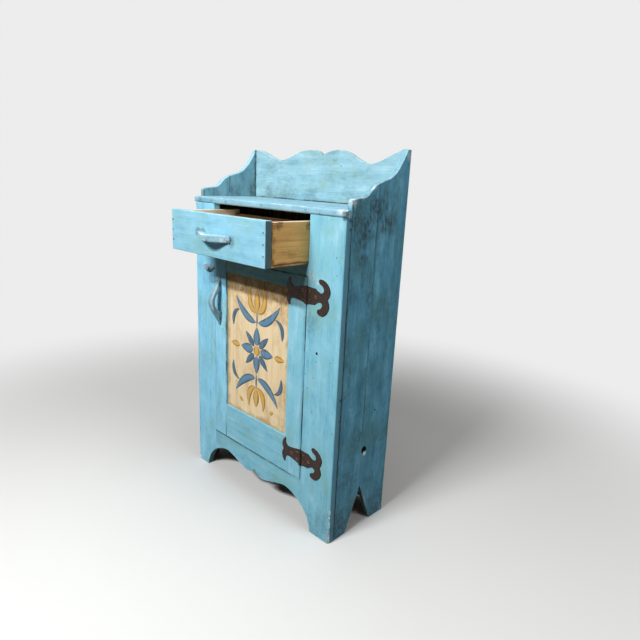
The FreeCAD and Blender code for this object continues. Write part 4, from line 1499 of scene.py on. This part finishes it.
@dataclass
class FaceFrame(SubAssembly):
    """Stiles, rail and scalloped apron of the front.

    Attributes:
        corner: radius of the stiles' outer front arris.
        foot: how far the foot's scallop reaches up a stile.
        scallop: how far it reaches up the apron.
        worn: chips of the right stile's foot: height and radius, in millimetres.
    """

    body: str = "case"
    corner: float = 5 * MM
    foot: float = 112 * MM
    scallop: float = 40 * MM
    worn: tuple[tuple[float, float], ...] = (
        (1, 6.4), (6, 5.4), (11, 5.8), (16, 5.0), (23, 5.3), (29, 4.8), (36, 5.4), (43, 4.7), (58, 4.9),
        (64, 4.7), (72, 5.1), (88, 4.6), (103, 4.8), (109, 4.6))

    def build(self) -> None:
        """Build the four boards of the frame and dress its nails."""
        low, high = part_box("right_face_stile")
        worn = tuple(Chip((high.x + 1 * MM, low.y - 1 * MM, z * MM), size * MM) for z, size in self.worn)
        hole = Chip((250 * MM, low.y - 1.5 * MM, 566 * MM), 4.4 * MM, Wound.HOLE)
        brown = Chip((-high.x - 1 * MM, low.y - 1 * MM, 6 * MM), 12 * MM)
        stile = {"lay": Lay.FACE, "grain": Axis.Z, "coat": Coat.NEAR,
                 "ends": (0.8 * MM, 0.8 * MM), "curves": (self.foot, 1 * MM)}
        left = Board("left_face_stile", back_seams=Rim.LEFT, near_ends=(self.corner, 0.8 * MM),
                     tight=Rim.HIGH, chips=(brown,), **stile)
        right = Board("right_face_stile", back_seams=Rim.RIGHT, near_ends=(0.8 * MM, self.corner),
                      tight=Rim.HIGH | Rim.LEFT, chips=(*worn, hole), **stile)
        thin = (0.3 * MM, 0.3 * MM)
        span = np.array([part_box("left_face_stile")[1].x, low.x])
        foot, head = (corner.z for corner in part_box("drawer_rail"))
        rail = Board("drawer_rail", Lay.FACE, Axis.X, Rim.LOW, tight=Rim.ENDS, coat=Coat.NEAR, ends=thin,
                     profile=(span, np.full(2, foot), np.full(2, head)))
        apron = Board("scalloped_apron", Lay.FACE, Axis.X, Rim.HIGH, tight=Rim.ENDS, coat=Coat.NEAR,
                      ends=thin, curves=(self.scallop, 1 * MM))
        for board, paint in ((left, LATCH_PAINT), (right, STILE_PAINT), (rail, PAINT), (apron, PAINT)):
            self.board(board, paint)
        self.dress("face_frame_nails", PAINT.plain("painted_nails", Axis.X, "face_frame_nails", 5))


@dataclass
class Gallery(SubAssembly):
    """Top board with its front lip, and the scalloped crest behind it.

    Attributes:
        lip: radius of the top's front arrises.
        scallop: how far the crest's outline falls from its peaks.
    """

    body: str = "case"
    lip: float = 5 * MM
    scallop: float = 70 * MM

    def build(self) -> None:
        """Build the crest and the top."""
        low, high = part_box("top_board")
        crest = Board("gallery_crest", Lay.FACE, Axis.X, Rim.ENDS | Rim.LOW, coat=Coat.BOTH, soft=2 * MM,
                      ends=(0.4 * MM, 0.4 * MM), curves=(1 * MM, self.scallop),
                      tuck=(high.z - low.z, 0.0), tucked=Rim.LOW)
        self.board(crest, CREST_PAINT)
        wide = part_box("gallery_crest")[1].x
        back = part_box("left_face_stile")[1].y
        across = np.array([low.x, -wide - 0.4 * MM, -wide, wide, wide + 0.4 * MM, high.x])
        rear = np.array([back, back, high.y, high.y, back, back])
        corner = Chip((high.x + 1 * MM, low.y + 4 * MM, high.z + 1 * MM), 5 * MM, Wound.CHALK)
        top = Board("top_board", Lay.FLAT, Axis.X, Rim.HIGH, coat=Coat.BOTH, low_soft=self.lip, soft=1 * MM,
                    profile=(across, np.full(6, low.y), rear), chips=(corner,))
        self.board(top, TOP_PAINT)


@dataclass
class Drawer(SubAssembly):
    """Drawer box with its carved pull.

    Attributes:
        gap: length and depth of the pull's finger gap.
        stains: stains of the sides: place behind the front, fall from the top and reach, in millimetres.
        pull_marks_and_shade: dark marks of the pull, split paint and dirt, and painted shade on its right end
            and lower edge.
    """

    body: str = "drawer"
    gap: tuple[float, float] = (76 * MM, 21 * MM)
    stains: tuple[tuple[float, float, float], ...] = (
        (4, 16, 14), (24, 10, 20), (3, 44, 13), (5, 72, 11), (3, 98, 14), (128, 14, 16))
    pull_marks_and_shade: tuple[tuple[float, float, float, float], ...] = (
        (0.97, 0.75, 0.15, 12), (0.8, 0.3, 0.1, 8), (0.6, 0.1, 0.1, 6), (0.12, 0.7, 0.95, 9))

    def build(self) -> None:
        """Build the five boards and the pull, and dress the fasteners."""
        front = Board("drawer_front", Lay.FACE, Axis.X, coat=Coat.NEAR, soft=2 * MM, ends=(2 * MM, 2 * MM))
        low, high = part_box("drawer_pull")
        # Dark patches on the front at the pull's ends: dirt from hands, and painted shade where the pull
        # meets the front.
        handled_and_shaded = tuple(Blot((x, high.y, (low.z + high.z) / 2 + rise * MM), 20 * MM, 0.8)
                        for x, rise in ((low.x + 1 * MM, 5), (high.x + 1 * MM, -4), (low.x + 22 * MM, 9)))
        self.board(front, replace(DRAWER_PAINT, blots=handled_and_shaded))
        for side, coat in (("left", Coat.FAR), ("right", Coat.NEAR)):
            node = f"drawer_{side}_side"
            low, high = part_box(node)
            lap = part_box("drawer_front")[1].y
            outer = low.x if side == "left" else high.x
            stains = tuple(Blot((outer, lap + aft * MM, high.z - fall * MM), reach * MM, 0.85)
                           for aft, fall, reach in self.stains)
            board = Board(node, Lay.CHEEK, Axis.Y, Rim.LEFT | Rim.LOW, coat=coat,
                          tuck=(lap - low.y, lap - low.y), tucked=Rim.LEFT)
            self.board(board, replace(DRAWER_PINE, blots=stains))
        self.board(Board("drawer_back", Lay.FACE, Axis.X, Rim.ENDS, step=10 * MM), SHELF_PINE)
        bottom = Board("drawer_bottom", Lay.FLAT, Axis.X, Rim.ROUND, coat=Coat.FAR, step=12 * MM)
        self.board(bottom, DRAWER_PINE)
        pull = Bow("drawer_pull", Axis.X, *self.gap, tip_width=17 * MM, square=0.36)
        # The pull's dark marks are split paint and dirt, and painted shade on its right end and lower edge.
        self.carved(pull, replace(PULL_PAINT, blots=cracks_and_shade("drawer_pull", *self.pull_marks_and_shade)))
        nails = "drawer_front_nails"
        self.dress(nails, NAIL_PAINT.plain("drawer_nail_finish", Axis.X, nails, 8))
        self.dress("drawer_pull_screws", IRON.material("pull_screw_finish"))


@dataclass
class Door(SubAssembly):
    """Framed door with its panel, the panel's carved design, and its carved handle.

    Attributes:
        gap: length and depth of the handle's finger gap.
        lift: how far the design stands out of the panel.
        petals: petals of the rosette.
        browned_and_shaded: browner patches towards the panel's top, old dirt and painted shade under the
            drawer:
            share of its width, fall from its top and reach in millimetres, and depth.
    """

    body: str = "door"
    gap: tuple[float, float] = (70 * MM, 27 * MM)
    lift: float = 1.6 * MM
    petals: int = 8
    browned_and_shaded: tuple[tuple[float, float, float, float], ...] = (
        (0.08, 35, 70, 0.8), (0.35, 28, 65, 0.75), (0.62, 30, 80, 0.85), (0.9, 35, 80, 0.9),
        (0.5, 85, 60, 0.5), (0.2, 100, 45, 0.4), (0.85, 100, 60, 0.55), (0.95, 360, 70, 0.55),
        (0.92, 450, 60, 0.5))

    def build(self) -> None:
        """Build the frame, the panel, its design and the handle, and dress the screws."""
        thin = (0.4 * MM, 0.4 * MM)
        frames = {"door_latch_stile": (Axis.Z, Rim.RIGHT), "door_hinge_stile": (Axis.Z, Rim.RIGHT),
                  "door_top_rail": (Axis.X, Rim.HIGH), "door_bottom_rail": (Axis.X, Rim.NONE)}
        for node, (grain, seams) in frames.items():
            tight = Rim.ENDS | Rim.LOW if grain is Axis.X else Rim.NONE
            board = Board(node, Lay.FACE, grain, seams, tight=tight, coat=Coat.NEAR, ends=thin)
            self.board(self.shown(board), LATCH_PAINT if node == "door_latch_stile" else PAINT)
        low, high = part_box("door_panel")
        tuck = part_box("door_latch_stile")[1].x - low.x
        # Browner patches towards the panel's top: old dirt, and painted shade under the drawer.
        browned_and_shaded = tuple(Blot((low.x + share * (high.x - low.x), low.y, high.z - fall * MM), reach * MM, depth)
                        for share, fall, reach, depth in self.browned_and_shaded)
        panel = Board("door_panel", Lay.FACE, Axis.Z, Rim.ROUND, tuck=(tuck, tuck))
        self.board(panel, replace(PANEL_PINE, blots=browned_and_shaded))
        self.design()
        # Dark marks along the right side of the handle's pads: painted shadow of the pads, and dirt.
        dark = cracks_and_shade("door_handle", (1.0, 0.95, 0.86, 14), (1.0, 0.95, 0.7, 10), (1.0, 0.95, 0.14, 12))
        self.carved(Bow("door_handle", Axis.Z, *self.gap), replace(HANDLE_PAINT, blots=dark))
        self.dress("door_handle_screws", IRON.material("handle_screw_finish"))

    def shown(self, board: Board) -> Board:
        """Leave a rail's hidden tenons off, by taking its ends from the stiles beside it.

        Args:
            board: a stile or rail of the door.

        Returns:
            The same board.
        """
        if board.grain is Axis.X:
            low, high = board.box()
            ends = np.array([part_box("door_latch_stile")[1].x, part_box("door_hinge_stile")[0].x])
            board.profile = (ends, np.full(2, low[1]), np.full(2, high[1]))
        return board

    def design(self) -> None:
        """Build a folk rosette between two tulips, with leaves, on the panel."""
        low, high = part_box("door_panel")
        middle = ((low.x + high.x) / 2, low.y, (low.z + high.z) / 2)
        both, four = ((1, 1), (1, -1)), ((1, 1), (-1, 1), (1, -1), (-1, -1))
        turn = np.arange(self.petals) * (2 * np.pi / self.petals)
        rays = [Stroke((18 * s, 18 * c), (44 * s, 44 * c), (76 * s, 76 * c), 16 - 5 * (i % 2), 0.75)
                for i, (s, c) in enumerate(zip(np.sin(turn), np.cos(turn)))]
        leaf = Stroke((6, 92), (58, 92), (104, 160), 13, 0.85)
        comma = Stroke((116, 60), (124, 110), (84, 118), 8, 0.8)
        stem = Stroke((0, 76), (0, 100), (0, 132), 3)
        cup = Stroke((3, 122), (46, 134), (34, 196), 11, 0.9)
        heart = Stroke((0, 126), (0, 160), (0, 190), 14, 0.9)
        bud = Stroke((84, 0), (104, 0), (128, 0), 10, 0.8)
        seed = Stroke((66, 190), (74, 186), (84, 178), 6)
        groups = {
            "blue_strokes": (BLUE_STROKE, rays[::2] + [leaf.turned(flip) for flip in four]),
            "deep_strokes": (DEEP_STROKE, rays[1::2] + [comma.turned(flip) for flip in four]
                             + [stem.turned(flip) for flip in both]),
            "ochre_strokes": (OCHRE_STROKE, [part.turned(flip) for part in (cup, seed) for flip in four]
                              + [heart.turned(flip) for flip in both] + [bud, bud.turned((-1, 1))]
                              + [Stroke((0, -17), (0, 0), (0, 17), 15)]),
        }
        for name, (paint, strokes) in groups.items():
            piece = relief(f"panel_{name}", strokes, middle, self.lift)
            self.keep(piece, paint.material(f"{name}_finish"), paint.slot)


@dataclass
class Hinges:
    """Two forged hinges, with leaves on the case and on the door.

    Attributes:
        edge: width of the leaves' hammered edges.
        head: radius and height of a nail head.
        spacing: least distance between two nails.
        sunk: how far a head's foot lies behind the front of the CAD head.
    """

    edge: float = 0.6 * MM
    head: tuple[float, float] = (2.8 * MM, 1.8 * MM)
    spacing: float = 9 * MM
    sunk: float = 0.9 * MM

    def build(self) -> None:
        """Forge the leaves, dress the pins and build the nail heads."""
        case, door = SubAssembly("case"), SubAssembly("door")
        iron = IRON.material("hinge_iron")
        for name in ("upper", "lower"):
            for owner, leaf in ((case, "stile_leaf"), (door, "door_leaf")):
                owner.keep(self.forged(f"{name}_hinge_{leaf}"), iron, IRON.slot)
            case.dress(f"{name}_hinge_pin", iron)
        for owner, node in ((case, "stile_leaf_nails"), (door, "door_leaf_nails")):
            heads = domes(f"{node}_heads", self.heads(node), *self.head)
            owner.keep(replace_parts(heads, node), NAIL_IRON.material(f"{node}_finish"), NAIL_IRON.slot)

    def forged(self, node: str) -> bpy.types.Object:
        """Merged copy of a leaf, with its edges beaten round.

        Args:
            node: the leaf's node.

        Returns:
            The leaf's object.
        """
        mesh = bpy.data.meshes.new(f"{node}_forged")
        work = bmesh.new()
        work.from_mesh(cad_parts[node].data)
        bmesh.ops.remove_doubles(work, verts=work.verts, dist=0.005 * MM)
        bmesh.ops.recalc_face_normals(work, faces=work.faces)
        bmesh.ops.dissolve_limit(work, angle_limit=math.radians(1), verts=work.verts, edges=work.edges)
        work.to_mesh(mesh)
        work.free()
        mesh.set_sharp_from_angle(angle=math.radians(40))
        piece = bpy.data.objects.new(f"{node}_forged", mesh)
        bpy.context.scene.collection.objects.link(piece)
        bevel = piece.modifiers.new("beaten_edges", "BEVEL")
        bevel.width = self.edge
        bevel.segments = 2
        bevel.angle_limit = math.radians(40)
        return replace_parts(piece, node)

    def heads(self, node: str) -> Points:
        """Middle of the foot of each nail head: the mean of the corners of each head's front.

        Args:
            node: the nails' node.

        Returns:
            One row for each head.
        """
        points = node_points(node)
        front = np.unique(points[points[:, 1] < points[:, 1].min() + 0.1 * MM].round(6), axis=0)
        cells = (front[:, [0, 2]] / self.spacing).round().astype(int)
        owner = np.unique(cells, axis=0, return_inverse=True)[1].ravel()
        sums = np.stack([np.bincount(owner, front[:, i]) for i in range(3)], -1)
        centres = sums / np.bincount(owner)[:, None]
        centres[:, 1] += self.sunk
        return centres


@dataclass
class TurnButton(SubAssembly):
    """Carved wooden button on its screw.

    Attributes:
        tip: height and width of its two ends.
    """

    body: str = "button"
    tip: tuple[float, float] = (4 * MM, 3 * MM)

    def build(self) -> None:
        """Carve the button and dress the screw."""
        self.carved(Bow("turn_button", Axis.X, 0.0, 0.0, *self.tip, square=0.8), BUTTON_PAINT)
        self.dress("button_screw", BUTTON_PAINT.plain("button_screw_finish", Axis.X, "button_screw", 6))


@dataclass(frozen=True)
class Lamp:
    """A flat lamp that looks at the cupboard's middle.

    Attributes:
        name: its name.
        place: where it hangs.
        size: its width and height.
        power: its power in watts.
    """

    name: str
    place: tuple[float, float, float]
    size: tuple[float, float]
    power: float

    def build(self) -> None:
        """Hang the lamp."""
        lamp = bpy.data.lights.new(self.name, "AREA")
        lamp.shape = "RECTANGLE"
        lamp.size, lamp.size_y = self.size
        lamp.energy = self.power
        holder = bpy.data.objects.new(self.name, lamp)
        bpy.context.scene.collection.objects.link(holder)
        aim = ((CAD_BOX[0] + CAD_BOX[1]) / 2 - Vector(self.place)).to_track_quat("-Z", "Y")
        holder.matrix_world = Matrix.Translation(self.place) @ aim.to_matrix().to_4x4()


@dataclass
class Studio:
    """Camera at the photograph's view, two strip lamps in front, a soft top and side lamp, and a pale floor.

    Attributes:
        eye: the camera's place.
        heading: its turn from looking along +Y, in degrees.
        pitch: how far it looks down, in degrees.
        roll: its tilt, in degrees.
        lens: focal length on a sensor of 36 mm.
        lamps: the lamps.
        fill: strength of the even light from all round.
        fade: where the floor's fading into the background starts and ends, in metres from the middle.
    """

    eye: tuple[float, float, float] = (1.1813, -1.0118, 1.0267)
    heading: float = 43.357
    pitch: float = 15.114
    roll: float = 2.64
    lens: float = 29.31
    lamps: tuple[Lamp, ...] = (Lamp("lower_strip", (-0.05, -2.2, 2.18), (0.9, 0.1), 30.0),
                               Lamp("upper_strip", (0.2, -2.2, 2.49), (0.9, 0.1), 60.0),
                               Lamp("side_lamp", (2.7, 0.35, 1.6), (1.3, 1.3), 23.0),
                               Lamp("top_lamp", (0.15, 0.0, 2.9), (1.4, 1.4), 18.0))
    fill: float = 0.06
    fade: tuple[float, float] = (0.8, 2.2)

    # Colours of the background, of the floor as it is seen, and of the light that it throws back
    PALE = "ECEDEC"
    GROUND = "E6E6E4"
    BOUNCE = "3A3A38"

    def build(self) -> None:
        """Set up the camera, lamps, world and floor."""
        scene = bpy.context.scene
        scene.view_settings.view_transform = "Standard"
        camera = bpy.data.cameras.new("camera")
        camera.lens = self.lens
        camera.sensor_width = 36.0
        eye = bpy.data.objects.new("camera", camera)
        scene.collection.objects.link(eye)
        turn = Matrix.Rotation(math.radians(self.heading), 4, "Z")
        tilt = Matrix.Rotation(math.radians(90 - self.pitch), 4, "X")
        lean = Matrix.Rotation(math.radians(self.roll), 4, "Z")
        eye.matrix_world = Matrix.Translation(self.eye) @ turn @ tilt @ lean
        scene.camera = eye
        for lamp in self.lamps:
            lamp.build()
        self.sky()
        self.floor()

    def sky(self) -> None:
        """Even light from all round, pale where the camera or a reflection sees it."""
        world = bpy.data.worlds.new("studio")
        bpy.context.scene.world = world
        shader = Shader(world)
        seen = self.seen(shader)
        light = shader.node("ShaderNodeBackground", {}, {"Color": tint("FFFFFF"), "Strength": self.fill})
        show = shader.node("ShaderNodeBackground", {}, {"Color": tint(self.PALE), "Strength": 1.0})
        both = shader.node("ShaderNodeMixShader", {}, {0: seen, 1: light, 2: show})
        shader.close("ShaderNodeOutputWorld", both)

    def seen(self, shader: Shader) -> Wire:
        """1 for rays from the camera or from a reflection."""
        path = shader.node("ShaderNodeLightPath", {}, {}, "Is Camera Ray")
        return path | path.sibling("Is Glossy Ray") | path.sibling("Is Transmission Ray")

    def floor(self) -> None:
        """Round floor of rings and spokes that fades into the pale background with distance."""
        rings = np.concatenate([[0.01], np.geomspace(0.3, 14.0, 24)])
        turn = np.linspace(0, 2 * np.pi, 64, endpoint=False)
        x, y = np.outer(rings, np.cos(turn)), np.outer(rings, np.sin(turn))
        points = np.stack([x, y, np.zeros_like(x)], -1)
        mesh = bpy.data.meshes.new("floor")
        mesh.from_pydata(points.reshape(-1, 3).tolist(), [], loop_faces(*x.shape)[:-1])
        floor = bpy.data.objects.new("floor", mesh)
        bpy.context.scene.collection.objects.link(floor)
        shader = Shader.named("pale_floor")
        spot = shader.node("ShaderNodeTexCoord", {}, {}, "Object")
        away = shader.node("ShaderNodeVectorMath", {"operation": "LENGTH"}, {0: spot}, "Value")
        seen = self.seen(shader)
        colour = shader.blend(seen, tint(self.BOUNCE), tint(self.GROUND))
        matt = shader.node("ShaderNodeBsdfDiffuse", {}, {"Color": colour})
        glow = shader.node("ShaderNodeEmission", {}, {"Color": tint(self.PALE), "Strength": 1.0})
        share = shader.band(away, *self.fade) * seen
        both = shader.node("ShaderNodeMixShader", {}, {0: share, 1: matt, 2: glow})
        shader.close("ShaderNodeOutputMaterial", both)
        mesh.materials.append(shader.owner)


def main() -> None:
    """Build every sub-assembly in order."""
    logging.basicConfig(level=logging.INFO, format="%(message)s")
    for part in (Studio(), Case(), FaceFrame(), Gallery(), Drawer(), Door(), Hinges(), TurnButton()):
        LOG.info("Building %s", type(part).__name__)
        part.build()
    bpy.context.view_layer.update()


if __name__ == "__main__":
    main()
